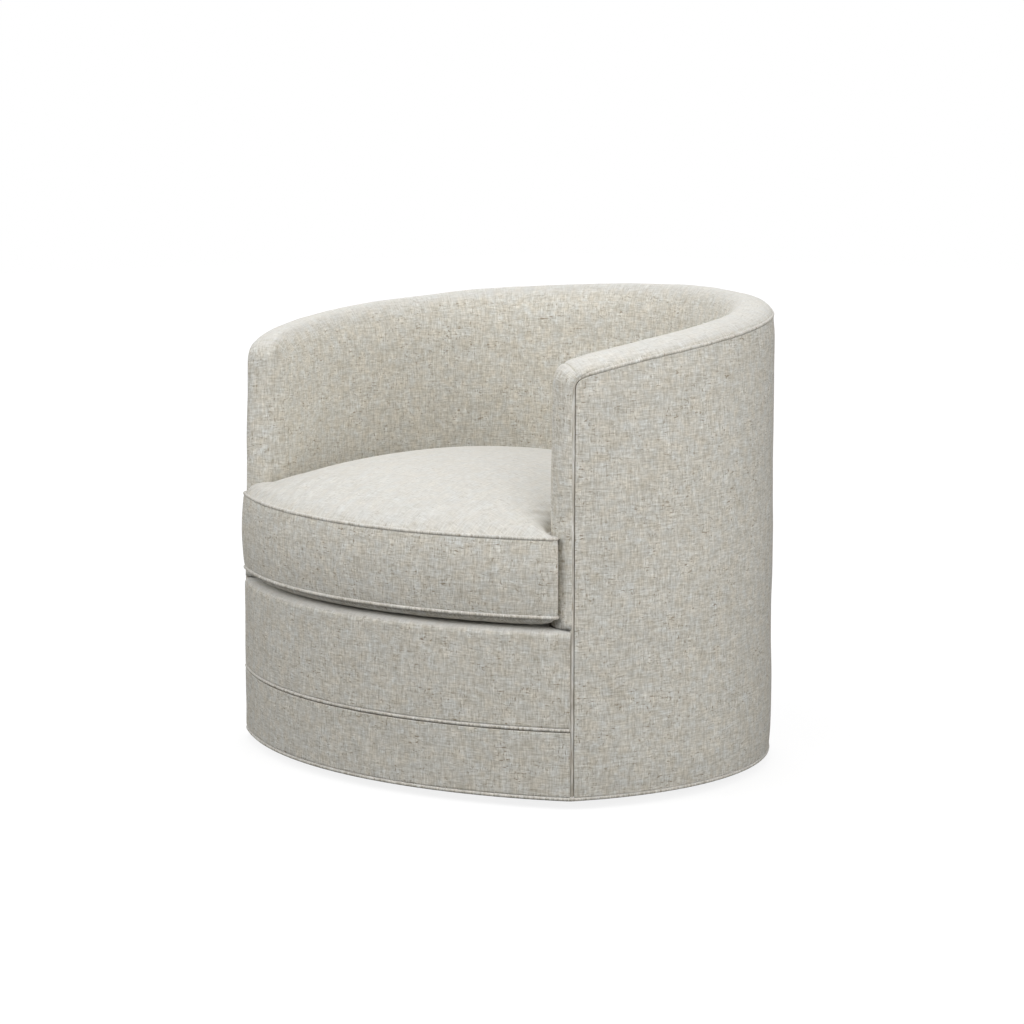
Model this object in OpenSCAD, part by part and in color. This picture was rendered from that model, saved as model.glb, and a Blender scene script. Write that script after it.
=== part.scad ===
// Swivel barrel chair: an upholstered tub on a ball bearing turntable, with a loose crowned cushion.
// Millimetres, +Z up. The origin lies on the floor under the middle of the chair, on the swivel's axis.
// The front faces -Y. An angle round the barrel counts from the front middle towards +X.

/* [Barrel] */
// Radius of the barrel's outside
barrel_r = 419; // [390:1:450]
// Angle from the front middle to the seam at each front edge
arm_angle = 60.2; // [56:0.2:64]
// How far the front bows out past the line between its two edges
front_bow = 112; // [90:1:125]
// Gap between the hem and the floor
hem_z = 12; // [8:1:16]
// Height of the outside seam at the front of each arm
arm_h = 608; // [560:1:640]
// Height of the outside seam at the middle of the back
back_h = 695; // [660:1:760]
// How far the arm fronts lean back at the top
arm_lean = 3; // [0:0.5:10]
// How far the arm fronts are drawn in at the top
arm_draw = 7; // [0:0.5:9]
// Length of the rounding at the top corner of each arm front
corner_leg = 28; // [24:1:40]

/* [Padding] */
// Thickness of the padded wall at the arms
wall_t = 76; // [70:1:90]
// Distance from the outside to the crest of the padded roll
crest_n = 45; // [40:1:50]
// Height of the roll's crest above the outside seam
roll_h = 18.5; // [16:0.5:22]
// How far the padded roll stands forward of each front seam
front_roll_h = 24.5; // [18:0.5:28]
// Radius of the soft edge between the roll and the inside
inner_edge_r = 30; // [28:1:36]
// How much further forward the inside back stands at seat level than at the top
back_pitch = 55; // [20:1:70]
// Thickness of the outside cover with its wadding
cover_t = 4.2; // [4:0.1:6]
// Thickness of the inside cover with its wadding
skin_t = 2.5; // [1.5:0.1:4]
// Diameter of the covered welt cord
welt_d = 6; // [5:0.1:7]

/* [Apron] */
// Height of the apron's top
apron_z = 259; // [245:1:275]
// Height of the seam under the middle welt
band_z = 111; // [90:1:130]
// Radius of the apron's top edge
apron_edge_r = 10; // [8:0.5:14]
// Depth of the apron's flange over the front rail
apron_flange = 62; // [50:1:70]

/* [Seat cushion] */
// Height of the cushion's lower welt
cushion_low_z = 269; // [262:1:290]
// Height of the cushion's boxing between its welts
boxing_h = 118; // [90:1:140]
// Height of the crown above the upper welt
cushion_crown = 77; // [40:1:90]
// How far the cushion's front stands proud of the apron
cushion_proud = 3; // [0:0.5:8]
// How far the boxing swells out at the front
boxing_swell = 5; // [0:0.5:10]
// Gap between the cushion and the padded wall
cushion_gap = 2.4; // [2:0.1:5]
// How far the cushion's front corners stop short of the barrel's sides
ear_short = 24.5; // [20:0.5:30]
// Length of the zip in the back of the boxing
zip_l = 300; // [160:10:380]

/* [Frame] */
// Thickness of the plywood rails and posts
rail_t = 22; // [18:1:25]
// Height of the top rail
rail_h = 42; // [30:1:60]
// Width of the front posts along the wall
post_w = 48; // [40:1:60]
// Width of the uprights along the wall
upright_w = 44; // [30:1:60]
// Width of the bottom ring
ring_w = 46; // [40:1:60]
// Width of the seat ring
seat_ring_w = 58; // [50:1:70]
// Height of the seat ring's top
seat_ring_z = 218; // [205:1:222]
// Thickness of the outside and inside liner boards
liner_t = 3; // [2:0.5:4]
// Width of each board that carries the turntable
board_w = 110; // [90:1:130]

/* [Seat springs] */
// Diameter of the spring wire
wire_d = 3.8; // [3:0.1:4.5]
// Number of springs
spring_count = 5; // [3:1:6]
// Distance between springs
spring_pitch = 100; // [80:1:105]
// Width across a spring's bends
spring_w = 48; // [46:1:56]
// Length of wire run that one bend takes up
bend_pitch = 30; // [26:1:32]
// Rise of each spring at its middle
spring_rise = 12; // [6:1:14]

/* [Swivel base] */
// Gap between the base disc and the bottom ring round it
base_gap = 31.3; // [20:0.1:70]
// Thickness of the base disc
base_t = 22; // [18:1:25]
// Number of glides under the base
glide_count = 6; // [4:1:8]
// Diameter of each glide
glide_d = 32; // [24:1:40]
// Height of each glide
glide_h = 8; // [6:0.5:12]
// Radius of the turntable plates
plate_r = 130; // [120:1:150]
// Thickness of the turntable plates
plate_t = 3; // [2.5:0.1:4]
// Radius of the ball race
race_r = 98; // [80:1:102]
// Diameter of the balls
ball_d = 10; // [8:0.1:11]
// Number of balls
ball_count = 20; // [12:1:24]

/* [Hidden] */
// Seating gap between pieces that are fitted against each other
fit = 0.3;
// Running gap between the balls and their races, and round shanks and pins
run_gap = 0.05;
// Overrun of every cut
over = 1;
// Wall stations from a front post to the middle of the back, and along one rounded corner
top_steps = 19;
corner_steps = 5;
cord_sides = 6;
// Power of the seam's rise from the arms to the back
rise_power_share = 0.584;
// How deep a welt's middle lies in the outside surface
welt_sink = 1.2;
// How far the frame and the liners stop short of the seam
frame_drop = 4;
upright_count = 7;

// Small pieces of the swivel base
glide_rim = 2.6;
glide_shank_r = 3;
glide_shank_h = 12;
base_edge = 2;
groove_d = 1.5;
plate_hole_r = 20;
plate_hole_ring = 50;
pivot_r = 8;
pivot_head_r = 14;
pivot_head_t = 3;
pivot_room = 20;
screw_r = 3;
screw_l = 16;
screw_head_r = 6;
screw_head_t = 2.4;
bolt_inset = 12;
bolt_r = 3;
nut_r = 9;
nut_t = 2;
nut_barrel_r = 4.5;
nut_barrel_l = 10;
cage_t = 2;
cage_w = 15;
dust_t = 1;

// Small pieces of the seat
clip_t = 1.5;
clip_l = 20;
wire_sides = 4;
bend_rings = 3;
insulator_t = 2;
deck_cloth_t = 1.5;
zip_w = 14;
zip_t = 1.5;
// How deep the middle of a cushion's welt lies in the boxing
cushion_welt_sink = 1.8;
// Width of the cushion's soft edge, and how much of the crown's rise is left for inside it
soft_edge = 38;
soft_edge_share = 0.74;
puff_shares = [0.16, 0.45];
// How far the crown and the underside stand back from each front corner
corner_cut = 60;
low_corner_cut = 120;
// How much thicker the cushion's crown and underside are drawn than its boxing, because they slope
slope_share = 1.5;
crown_shares = [0.86, 0.5];
crown_power_shares = [2.6, 0.75];
cushion_levels_shares = [0, 0.25, 0.5, 0.75, 1];
core_levels_shares = [0, 0.5, 1];
bow_steps = 12;
side_steps = 12;
ear_steps = 5;
inside_levels = 3;
edge_steps = 8;
// Length of wall over which the lean and the draw of an arm front fade out
front_fade = 150;

// Barrel and front bow
welt_r = welt_d / 2;
front_x = barrel_r * sin(arm_angle);
front_y = -barrel_r * cos(arm_angle);
front_r = (front_x * front_x + front_bow * front_bow) / (2 * front_bow);
front_half = asin(front_x / front_r);
cushion_front = front_bow - front_y + cushion_proud + boxing_swell;
back_reach = barrel_r + welt_r - welt_sink;
// Where the barrel's centre lies, so that the chair turns about its middle
mid_y = (cushion_front - back_reach) / 2;
bow_y = mid_y + front_y - front_bow + front_r;

// Heights of the base, from the floor up
base_top = glide_h + base_t;
ball_z = base_top + plate_t + ball_d / 2 - groove_d;
upper_z = base_top + plate_t + ball_d - 2 * groove_d;
board_t = rail_t;
ring_top = upper_z + plate_t + dust_t;
ring_low = hem_z + welt_d - fit;
bolt_ring = plate_r - bolt_inset;

// Layers of the wall, from the outside in
liner_n = cover_t + fit;
facet_sag = barrel_r * (1 - cos(90 / top_steps));
frame_n = liner_n + liner_t + fit + facet_sag;
frame_in = frame_n + rail_t;
// The base disc reaches out from the swivel's axis to the nearest side of the bottom ring
base_r = min(barrel_r - abs(mid_y), front_r - bow_y) - frame_n - ring_w - base_gap;
inside_n = frame_in + fit;
foam_n = inside_n + liner_t + 3 * fit;
roll_out = welt_sink + welt_r + 2 * fit;
roll_foot = roll_h - inner_edge_r;

// Seat layers, from the seat ring up
spring_z = seat_ring_z + clip_t + fit + wire_d / 2;
deck_z = spring_z + spring_rise + wire_d / 2 + fit;
foam_low = deck_z + insulator_t + fit;
cushion_top_z = cushion_low_z + boxing_h;
cushion_rest = apron_z + fit;
roll_z = apron_z + fit;
zip_z = cushion_low_z + boxing_h / 2;

linen = [0.80, 0.78, 0.73];
linen_light = [0.86, 0.85, 0.81];
timber = [0.80, 0.66, 0.46];
board = [0.62, 0.52, 0.38];
foam_colour = [0.93, 0.88, 0.66];
steel = [0.66, 0.67, 0.69];

seam_start = arm_angle * PI / 180 * barrel_r + welt_d + 2 * fit;
function arc_mm(deg) = deg * PI / 180 * barrel_r;
function arc_deg(mm) = mm / barrel_r * 180 / PI;
function reverse(list) = [for (i = [len(list) - 1:-1:0]) list[i]];
function blend(a, b, t) = a + (b - a) * t;

// Above the apron the arm fronts lean back, and their outer layers are drawn in. Both fade along the wall.
function front_share(deg, z) = let (run = arc_mm(min(deg, 360 - deg)) - seam_start)
  max(0, z - roll_z) / (arm_h - roll_z) * pow(min(1, max(0, 1 - run / front_fade)), 2);
function outer_share(depth) = min(1, max(0, (wall_t - depth) / (wall_t - frame_in)));
// A point of the wall: its angle, how deep it lies inside the outside surface, and its height
function wall_point(deg, depth, z) = let (share = front_share(deg, z), side = deg < 180 ? 1 : -1,
  turned = deg + side * arc_deg(arm_lean * share),
  r = barrel_r - depth - arm_draw * share * outer_share(depth))
  [r * sin(turned), mid_y - r * cos(turned), z];

// The outside seam in the unrolled wall, as [length along the wall, height]
function seam_height(deg) = arm_h + (back_h - arm_h)
  * pow(max(0, (cos(arm_angle) - cos(deg)) / (1 + cos(arm_angle))), rise_power_share);
corner_run = seam_start + corner_leg;
corner_end = [corner_run, seam_height(arc_deg(corner_run))];
corner_slope = (seam_height(arc_deg(corner_run + over)) - corner_end[1]) / over;
corner_peak = [seam_start, corner_end[1] - corner_slope * corner_leg];
corner_low = corner_peak - [0, corner_leg];
function corner_at(t) = blend(blend(corner_low, corner_peak, t), blend(corner_peak, corner_end, t), t);
post_run = seam_start + post_w;
post_deg = arc_deg(post_run);
seam_top = concat(
  [for (i = [0:corner_steps]) corner_at(i / corner_steps)],
  [for (i = [0:top_steps]) let (deg = blend(post_deg, 180, i / top_steps)) [arc_mm(deg), seam_height(deg)]]);
function seam_from(z) = concat([[seam_start, z]], z < roll_z ? [[seam_start, roll_z]] : [],
  [[seam_start, (roll_z + corner_low[1]) / 2]], seam_top);

// Moves a seam outwards by d, square to itself. Its first point stays level and its last stays in the middle.
// What moves it forward is stretched by a share, because the roll stands further forward than up.
function seam_tangent(path, i) = let (v = path[min(i + 1, len(path) - 1)] - path[max(i - 1, 0)]) v / norm(v);
function seam_offset(path, d, share = 1) = [for (i = [0:len(path) - 1]) let (t = seam_tangent(path, i))
  i == 0 && t[1] > t[0] ? path[i] + [-d * share, 0]
  : i == len(path) - 1 ? path[i] + [0, d]
  : path[i] + [-t[1] * share, t[0]] * d];
function roll_stretch_share(d) = d > 0 ? front_roll_h / roll_h : 1;

// Both halves of a seam that is moved by d: a list of [angle, height] from the right front to the left front
function both_halves(path) = concat(
  [for (p = path) [arc_deg(p[0]), p[1]]],
  [for (i = [len(path) - 2:-1:0]) [360 - arc_deg(path[i][0]), path[i][1]]]);

// Skins a row of rings. Each ring runs out along one edge and back along the other, so that its ends close
// as ladders.
function ladder_end(start, count, flip) = [for (i = [0:count / 2 - 2]) let (j = count - 1 - i)
  each flip ? [[start + i, start + i + 1, start + j], [start + i + 1, start + j - 1, start + j]]
            : [[start + i, start + j, start + i + 1], [start + i + 1, start + j, start + j - 1]]];
function ring_sides(rings, count, closed) = [for (k = [0:rings - (closed ? 1 : 2)], i = [0:count - 1])
  let (a = k * count + i, b = k * count + (i + 1) % count, m = ((k + 1) % rings) * count,
       c = m + (i + 1) % count, d = m + i)
  each i < count / 2 ? [[a, b, c], [a, c, d]] : [[a, b, d], [b, c, d]]];
module loft(rings, closed = false) {
  count = len(rings[0]);
  polyhedron(points = [for (r = rings) each r],
    faces = concat(ring_sides(len(rings), count, closed),
      closed ? [] : concat(ladder_end(0, count, false), ladder_end((len(rings) - 1) * count, count, true))));
}

// A wall layer between two depths. It hangs from the seam, lowered by drop. It reaches down to low, or is
// a band.
module wall_layer(depth_a, depth_b, drop, low, first = 0, last = undef, band = 0) {
  path = both_halves(seam_offset(seam_top, -drop));
  stop = is_undef(last) ? len(path) - 1 : last;
  loft([for (i = [first:stop])
    let (p = path[i], column = band > 0 ? [p[1] - band, p[1]] : [low, roll_z, p[1]])
    concat([for (z = column) wall_point(p[0], depth_a, z)],
      [for (z = reverse(column)) wall_point(p[0], depth_b, z)])]);
}

// The barrel's plan, drawn in by an amount, as one circle cut by the bow of the front
module plan(inset) {
  intersection() {
    translate([0, mid_y]) circle(r = barrel_r - inset, $fn = 180);
    translate([0, bow_y]) circle(r = front_r - inset, $fn = 240);
  }
}
// The part of the plan in front of the arm fronts
module front_sector(extra) {
  reach = 2 * barrel_r;
  half = arm_angle + arc_deg(extra);
  translate([0, mid_y]) polygon([[0, 0], [-reach * sin(half), -reach * cos(half)], [0, -reach],
    [reach * sin(half), -reach * cos(half)]]);
}

// A ring of a cord round one point of its path, in the directions u and v
function ring_round(centre, u, v, radius, sides = cord_sides) = [for (k = [0:sides - 1])
  let (w = -360 * k / sides) centre + radius * (u * cos(w) + v * sin(w))];
module tube(path, radius, closed = false) {
  last = len(path) - 1;
  rings = [for (i = [0:last])
    let (ahead = path[closed ? (i + 1) % (last + 1) : min(i + 1, last)],
         behind = path[closed ? (i + last) % (last + 1) : max(i - 1, 0)],
         t = (ahead - behind) / norm(ahead - behind),
         flat = [path[i][0], path[i][1] - mid_y, 0],
         out = flat / norm(flat),
         a = cross(t, cross(out, t)), u = a / norm(a), v = cross(t, u))
    ring_round(path[i], u, v, radius)];
  loft(rings, closed);
}

// Base

module floor_glides() {
  color([0.20, 0.20, 0.21]) for (i = [0:glide_count - 1])
    rotate([0, 0, 360 * i / glide_count + 30]) translate([base_r - glide_d, 0, 0]) {
      rotate_extrude($fn = 48) polygon([[0, 0], [glide_d / 2 - glide_rim, 0], [glide_d / 2, glide_rim],
        [glide_d / 2, glide_h], [glide_shank_r, glide_h], [glide_shank_r, glide_h + glide_shank_h],
        [0, glide_h + glide_shank_h]]);
    }
}

module base_disc() {
  hole_r = pivot_head_r + pivot_room;
  color(timber) difference() {
    rotate_extrude($fn = 120) polygon([[hole_r, glide_h], [base_r - base_edge, glide_h],
      [base_r, glide_h + base_edge], [base_r, base_top - base_edge], [base_r - base_edge, base_top],
      [hole_r, base_top]]);
    for (i = [0:glide_count - 1])
      rotate([0, 0, 360 * i / glide_count + 30]) translate([base_r - glide_d, 0, glide_h - over])
        cylinder(r = glide_shank_r + run_gap, h = glide_shank_h + over + fit, $fn = 24);
    lower_screw_places() translate([0, 0, base_top - screw_l])
      cylinder(r = screw_r + run_gap, h = screw_l + over, $fn = 24);
  }
}

module lower_screw_places() {
  for (i = [0:3]) rotate([0, 0, 90 * i]) translate([bolt_ring, 0, 0]) children();
}
module bolt_places() {
  for (x = [-1, 1], y = [-1, 1]) translate([x * bolt_ring * cos(45), y * bolt_ring * sin(45), 0]) children();
}

module race_plate(z, groove_z) {
  difference() {
    translate([0, 0, z]) cylinder(r = plate_r, h = plate_t, $fn = 120);
    translate([0, 0, groove_z]) rotate_extrude($fn = 120) translate([race_r, 0])
      circle(r = ball_d / 2 + run_gap, $fn = 48);
    for (i = [0:3]) rotate([0, 0, 90 * i + 45]) translate([plate_hole_ring, 0, z - over])
      cylinder(r = plate_hole_r, h = plate_t + 2 * over, $fn = 36);
    children();
  }
}

module lower_plate() {
  color(steel) race_plate(base_top, ball_z) {
    translate([0, 0, base_top - over]) cylinder(r = pivot_r + run_gap, h = plate_t + 2 * over, $fn = 48);
    lower_screw_places() translate([0, 0, base_top - over])
      cylinder(r = screw_r + run_gap, h = plate_t + 2 * over, $fn = 24);
  }
}

module lower_screws() {
  color(steel) lower_screw_places() {
    translate([0, 0, base_top - screw_l]) cylinder(r = screw_r, h = screw_l + plate_t, $fn = 24);
    translate([0, 0, base_top + plate_t]) cylinder(r = screw_head_r, h = screw_head_t, $fn = 32);
  }
}

module ball_cage() {
  color([0.75, 0.72, 0.60]) difference() {
    translate([0, 0, ball_z - cage_t / 2]) difference() {
      cylinder(r = race_r + cage_w / 2, h = cage_t, $fn = 120);
      translate([0, 0, -over]) cylinder(r = race_r - cage_w / 2, h = cage_t + 2 * over, $fn = 120);
    }
    for (i = [0:ball_count - 1]) rotate([0, 0, 360 * i / ball_count]) translate([race_r, 0, ball_z - cage_t])
      cylinder(r = ball_d / 2 + run_gap, h = 2 * cage_t, $fn = 32);
  }
}

module balls() {
  color([0.82, 0.83, 0.85]) for (i = [0:ball_count - 1])
    rotate([0, 0, 360 * i / ball_count]) translate([race_r, 0, ball_z]) sphere(d = ball_d, $fn = 32);
}

module upper_plate() {
  color(steel) race_plate(upper_z, ball_z) {
    translate([0, 0, upper_z - over]) cylinder(r = pivot_r, h = plate_t + 2 * over, $fn = 48);
    bolt_places() translate([0, 0, upper_z - over])
      cylinder(r = bolt_r + run_gap, h = plate_t + 2 * over, $fn = 24);
  }
}

module pivot_rivet() {
  color(steel) {
    translate([0, 0, base_top - fit - pivot_head_t]) cylinder(r = pivot_head_r, h = pivot_head_t, $fn = 48);
    translate([0, 0, base_top - fit]) cylinder(r = pivot_r, h = upper_z + plate_t - base_top + fit, $fn = 48);
  }
}

module plate_bolts() {
  color(steel) bolt_places() {
    translate([0, 0, upper_z - screw_head_t]) cylinder(r = screw_head_r, h = screw_head_t, $fn = 32);
    translate([0, 0, upper_z]) cylinder(r = bolt_r, h = plate_t + dust_t + board_t, $fn = 24);
  }
}

module tee_nuts() {
  color(steel) bolt_places() difference() {
    union() {
      translate([0, 0, ring_top + board_t]) cylinder(r = nut_r, h = nut_t, $fn = 32);
      translate([0, 0, ring_top + board_t - nut_barrel_l])
        cylinder(r = nut_barrel_r, h = nut_barrel_l, $fn = 32);
    }
    translate([0, 0, ring_top + board_t - nut_barrel_l - over])
      cylinder(r = bolt_r + run_gap, h = nut_barrel_l + nut_t + 2 * over, $fn = 24);
  }
}

module dust_cover() {
  color([0.16, 0.16, 0.17]) translate([0, 0, ring_top - dust_t]) difference() {
    linear_extrude(dust_t) plan(frame_n + ring_w + fit);
    bolt_places() translate([0, 0, -over]) cylinder(r = bolt_r + run_gap, h = dust_t + 2 * over, $fn = 24);
  }
}

// Frame

module swivel_boards() {
  room = frame_in + fit;
  color(timber) difference() {
    translate([0, 0, ring_top]) linear_extrude(board_t) intersection() {
      plan(room);
      union() for (side = [-1, 1])
        translate([-barrel_r, side * bolt_ring * sin(45) - board_w / 2]) square([2 * barrel_r, board_w]);
    }
    bolt_places() translate([0, 0, ring_top - over])
      cylinder(r = nut_barrel_r + run_gap, h = board_t + 2 * over, $fn = 24);
  }
}

module bottom_ring() {
  color(timber) translate([0, 0, ring_low]) linear_extrude(ring_top - ring_low) difference() {
    plan(frame_n);
    plan(frame_n + ring_w);
  }
}

front_rail_top = apron_z - cover_t - 3 * fit;
module front_rail() {
  color(timber) translate([0, 0, ring_top]) linear_extrude(front_rail_top - ring_top) intersection() {
    difference() {
      plan(frame_n);
      plan(frame_in);
    }
    front_sector(seam_start + frame_drop - fit - arc_mm(arm_angle));
  }
}

post_last = corner_steps + 1;
wall_last = 2 * (corner_steps + top_steps + 1);
module front_post_right() { color(timber) wall_layer(frame_n, frame_in, frame_drop, ring_top, 0, post_last); }
module front_post_left() {
  color(timber) wall_layer(frame_n, frame_in, frame_drop, ring_top, wall_last - post_last, wall_last);
}
module top_rail() {
  color(timber) wall_layer(frame_n, frame_in, frame_drop, ring_top, post_last, wall_last - post_last, rail_h);
}

// An upright stands on the bottom ring and ends under the top rail
upright_span = 2 * (180 - post_deg);
module upright(place) {
  deg = post_deg + upright_span * place / (upright_count + 1);
  half = arc_deg(upright_w / 2);
  front = min(deg - half, 360 - deg - half);
  sag = (barrel_r - frame_n) * (1 - cos(half + 90 / top_steps));
  top = seam_height(front) - frame_drop - rail_h - 2 * fit;
  color(timber)
    translate([0, mid_y, ring_top]) rotate([0, 0, deg - 90])
      translate([barrel_r - frame_in, -upright_w / 2, 0]) cube([rail_t - sag, upright_w, top - ring_top]);
}
module upright_1() { upright(1); }
module upright_2() { upright(2); }
module upright_3() { upright(3); }
module upright_4() { upright(4); }
module upright_5() { upright(5); }
module upright_6() { upright(6); }
module upright_7() { upright(7); }

module seat_ring() {
  color(timber) translate([0, 0, seat_ring_z - rail_t]) linear_extrude(rail_t) difference() {
    plan(inside_n);
    plan(inside_n + seat_ring_w);
  }
}

// Seat springs: wire bent to and fro between the front and the back of the seat ring
spring_seat = inside_n + seat_ring_w / 2;
function spring_x(i) = (i - (spring_count - 1) / 2) * spring_pitch;
function spring_front(x) = bow_y - sqrt(pow(front_r - spring_seat, 2) - x * x);
function spring_back(x) = mid_y + sqrt(pow(barrel_r - spring_seat, 2) - x * x);
function spring_bends(x) = floor((spring_back(x) - spring_front(x)) / bend_pitch);
function spring_step(x) = (spring_back(x) - spring_front(x)) / spring_bends(x);
// Each bend is a half round at one side. A straight bar joins it to the next, and one lies in each clip.
function bend_point(x, side, y) = let (mid = (spring_front(x) + spring_back(x)) / 2,
  t = (y - mid) / (spring_back(x) - mid))
  [x + side, y, spring_z + spring_rise * (1 - t * t)];
function spring_path(x) = let (bends = spring_bends(x), step = spring_step(x), reach = (spring_w - step) / 2)
  concat([bend_point(x, -reach, spring_front(x))],
    [for (b = [0:bends - 1], k = [0:bend_rings]) let (side = b % 2 == 0 ? 1 : -1, w = 180 * k / bend_rings)
      bend_point(x, side * (reach + step / 2 * sin(w)), spring_front(x) + step * (b + (1 - cos(w)) / 2))],
    [bend_point(x, bends % 2 == 0 ? reach : -reach, spring_back(x))]);
module seat_springs() {
  color(steel) for (i = [0:spring_count - 1]) wire(spring_path(spring_x(i)), wire_d / 2);
}
module wire(path, radius) {
  last = len(path) - 1;
  loft([for (i = [0:last])
    let (t0 = path[min(i + 1, last)] - path[max(i - 1, 0)], t = t0 / norm(t0), up = [0, 0, 1],
         s = cross(t, up), u = s / norm(s), v = cross(t, u))
    ring_round(path[i], u, v, radius, wire_sides)]);
}

// Each clip is a strip that is folded over the end bar of a spring, with its closed side towards the spring
module spring_clip(x, y, inward) {
  room = wire_d / 2 + fit;
  w = spring_w - spring_step(x) - wire_d;
  translate([x - w / 2, y, seat_ring_z]) rotate([90, 0, 90]) linear_extrude(w)
    polygon([for (p = [[-clip_l, 0], [room + clip_t, 0], [room + clip_t, 2 * room + 2 * clip_t],
      [-room, 2 * room + 2 * clip_t], [-room, 2 * room + clip_t], [room, 2 * room + clip_t], [room, clip_t],
      [-clip_l, clip_t]]) [p[0] * inward, p[1]]]);
}
module spring_clips() {
  color(steel) for (i = [0:spring_count - 1]) let (x = spring_x(i)) {
    spring_clip(x, spring_front(x), 1);
    spring_clip(x, spring_back(x), -1);
  }
}

// Seat and cushion plan

// How deep the inside surface lies at an angle and a height
function inside_depth(deg, z) = wall_t + back_pitch * pow(max(0, -cos(deg)), 2)
  * max(0, 1 - (z - foam_low) / (arm_h - foam_low));
// The padded roll in its section, from the welt over the crest to its foot: [height over the seam, depth]
function roll_curve(t) = concat(
  [for (w = [0:22.5:67.5]) [(roll_h - t) * sin(w), crest_n - (crest_n - roll_out - t) * cos(w)]],
  [for (w = [90:-22.5:0])
    [roll_foot + (inner_edge_r - t) * sin(w), crest_n + (wall_t - crest_n - t) * cos(w)]]);
// Where the seat's outline leaves the front bow, and its plan: the bow, then the inside wall
function seat_bow(inset, half, i) = let (w = half * (2 * i / bow_steps - 1))
  [(front_r - inset) * sin(w), bow_y - (front_r - inset) * cos(w)];
function wall_start(depth, inset) = let (r = barrel_r - depth, f = front_r - inset, d = bow_y - mid_y,
  y = (r * r - f * f + d * d) / (2 * d)) acos(-y / r);
function seat_loop(z, gap, inset) = let (
  start = wall_start(wall_t + gap, inset),
  half = asin((barrel_r - wall_t - gap) * sin(start) / (front_r - inset)))
  concat([for (i = [0:bow_steps]) seat_bow(inset, half, i)],
    [for (i = [1:2 * side_steps - 1]) let (deg = blend(start, 360 - start, i / (2 * side_steps)),
      p = wall_point(deg, inside_depth(deg, z) + gap, 0)) [p[0], p[1]]]);

module spring_insulator() {
  color([0.45, 0.42, 0.36]) translate([0, 0, deck_z])
    linear_extrude(insulator_t) polygon(seat_loop(foam_low, fit, apron_flange + fit));
}
module deck_pad() {
  low = deck_z + insulator_t;
  color(foam_colour) translate([0, 0, low])
    linear_extrude(apron_z - deck_cloth_t - low) polygon(seat_loop(foam_low, 2 * fit, apron_flange + fit));
}
module deck_cloth() {
  color(linen) translate([0, 0, apron_z - deck_cloth_t])
    linear_extrude(deck_cloth_t) polygon(seat_loop(foam_low, 2 * fit, apron_flange + fit));
}

// Liners

module outer_liner() { color(board) wall_layer(liner_n, liner_n + liner_t, frame_drop, ring_low); }
module inner_liner() {
  color(board) wall_layer(inside_n, inside_n + liner_t, frame_drop, seat_ring_z);
}
module apron_liner() {
  top = apron_z - apron_edge_r;
  color(board) translate([0, 0, ring_low]) linear_extrude(top - ring_low) intersection() {
    difference() {
      plan(liner_n);
      plan(liner_n + liner_t);
    }
    front_sector(0);
  }
}

// Padding

module inside_skin(depth_a, depth_b, on_wall) {
  path = both_halves(seam_offset(seam_top, roll_foot - fit));
  loft([for (p = path) let (
    column = concat([foam_low], [for (k = [0:inside_levels]) blend(roll_z, p[1], k / inside_levels)])) concat(
    [for (z = column) wall_point(p[0], on_wall ? foam_n : inside_depth(p[0], z) - depth_b, z)],
    [for (z = reverse(column)) wall_point(p[0], inside_depth(p[0], z) - depth_a, z)])]);
}
module inside_foam() { color(foam_colour) inside_skin(skin_t + fit, 0, true); }
module inside_cover() { color(linen) inside_skin(0, skin_t, false); }

roll_path = seam_from(roll_z);
module roll_sweep(section) {
  halves = [for (p = section) both_halves(seam_offset(roll_path, p[0], roll_stretch_share(p[0])))];
  loft([for (i = [0:len(halves[0]) - 1]) [for (k = [0:len(section) - 1])
    wall_point(halves[k][i][0], section[k][1], halves[k][i][1])]]);
}
module roll_cover() { color(linen) roll_sweep(concat(roll_curve(0), reverse(roll_curve(skin_t)))); }
// The roll's foam rests on the rail, the posts and the inside foam
under_steps = 4;
under_depth_shares = [0.4, 0.75];
module roll_foam() {
  rest = fit - frame_drop;
  core = roll_curve(skin_t + fit);
  under = concat([for (i = [0:under_steps]) [rest, blend(core[0][1], foam_n, i / under_steps)]],
    [[(rest + roll_foot) / 2, foam_n], [roll_foot, foam_n]],
    [for (k = under_depth_shares) [roll_foot, blend(foam_n, wall_t - skin_t, k)]]);
  color(foam_colour) roll_sweep(concat(core, reverse(under)));
}

module outer_cover() { color(linen) wall_layer(0, cover_t, 0, hem_z + welt_d + fit); }

// Apron

apron_half = front_half - (welt_sink + fit) / front_r * 180 / PI;
module bow_sweep() {
  translate([0, bow_y, 0]) rotate([0, 0, -90 - apron_half])
    rotate_extrude(angle = 2 * apron_half, $fn = 240) children();
}
// The apron turns over the front rail into a flange, which stops in front of the posts
module apron_cover() {
  low = band_z + welt_d + 2 * fit;
  inner_r = apron_edge_r - cover_t;
  color(linen) intersection() {
    bow_sweep() polygon(concat(
      [[front_r, low], [front_r, apron_z - apron_edge_r]],
      [for (i = [1:edge_steps]) let (w = 90 * i / edge_steps) [front_r - apron_edge_r + apron_edge_r * cos(w),
        apron_z - apron_edge_r + apron_edge_r * sin(w)]],
      [[front_r - apron_flange, apron_z], [front_r - apron_flange, apron_z - cover_t]],
      [for (i = [edge_steps:-1:0]) let (w = 90 * i / edge_steps) [front_r - apron_edge_r + inner_r * cos(w),
        apron_z - apron_edge_r + inner_r * sin(w)]],
      [[front_r - cover_t, low]]));
    linear_extrude(apron_z + over) front_sector(seam_start - arc_mm(arm_angle));
  }
}
module apron_band() {
  low = hem_z + welt_d + fit;
  color(linen) bow_sweep() translate([front_r - cover_t, low]) square([cover_t, band_z - low]);
}

// Welts

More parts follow.
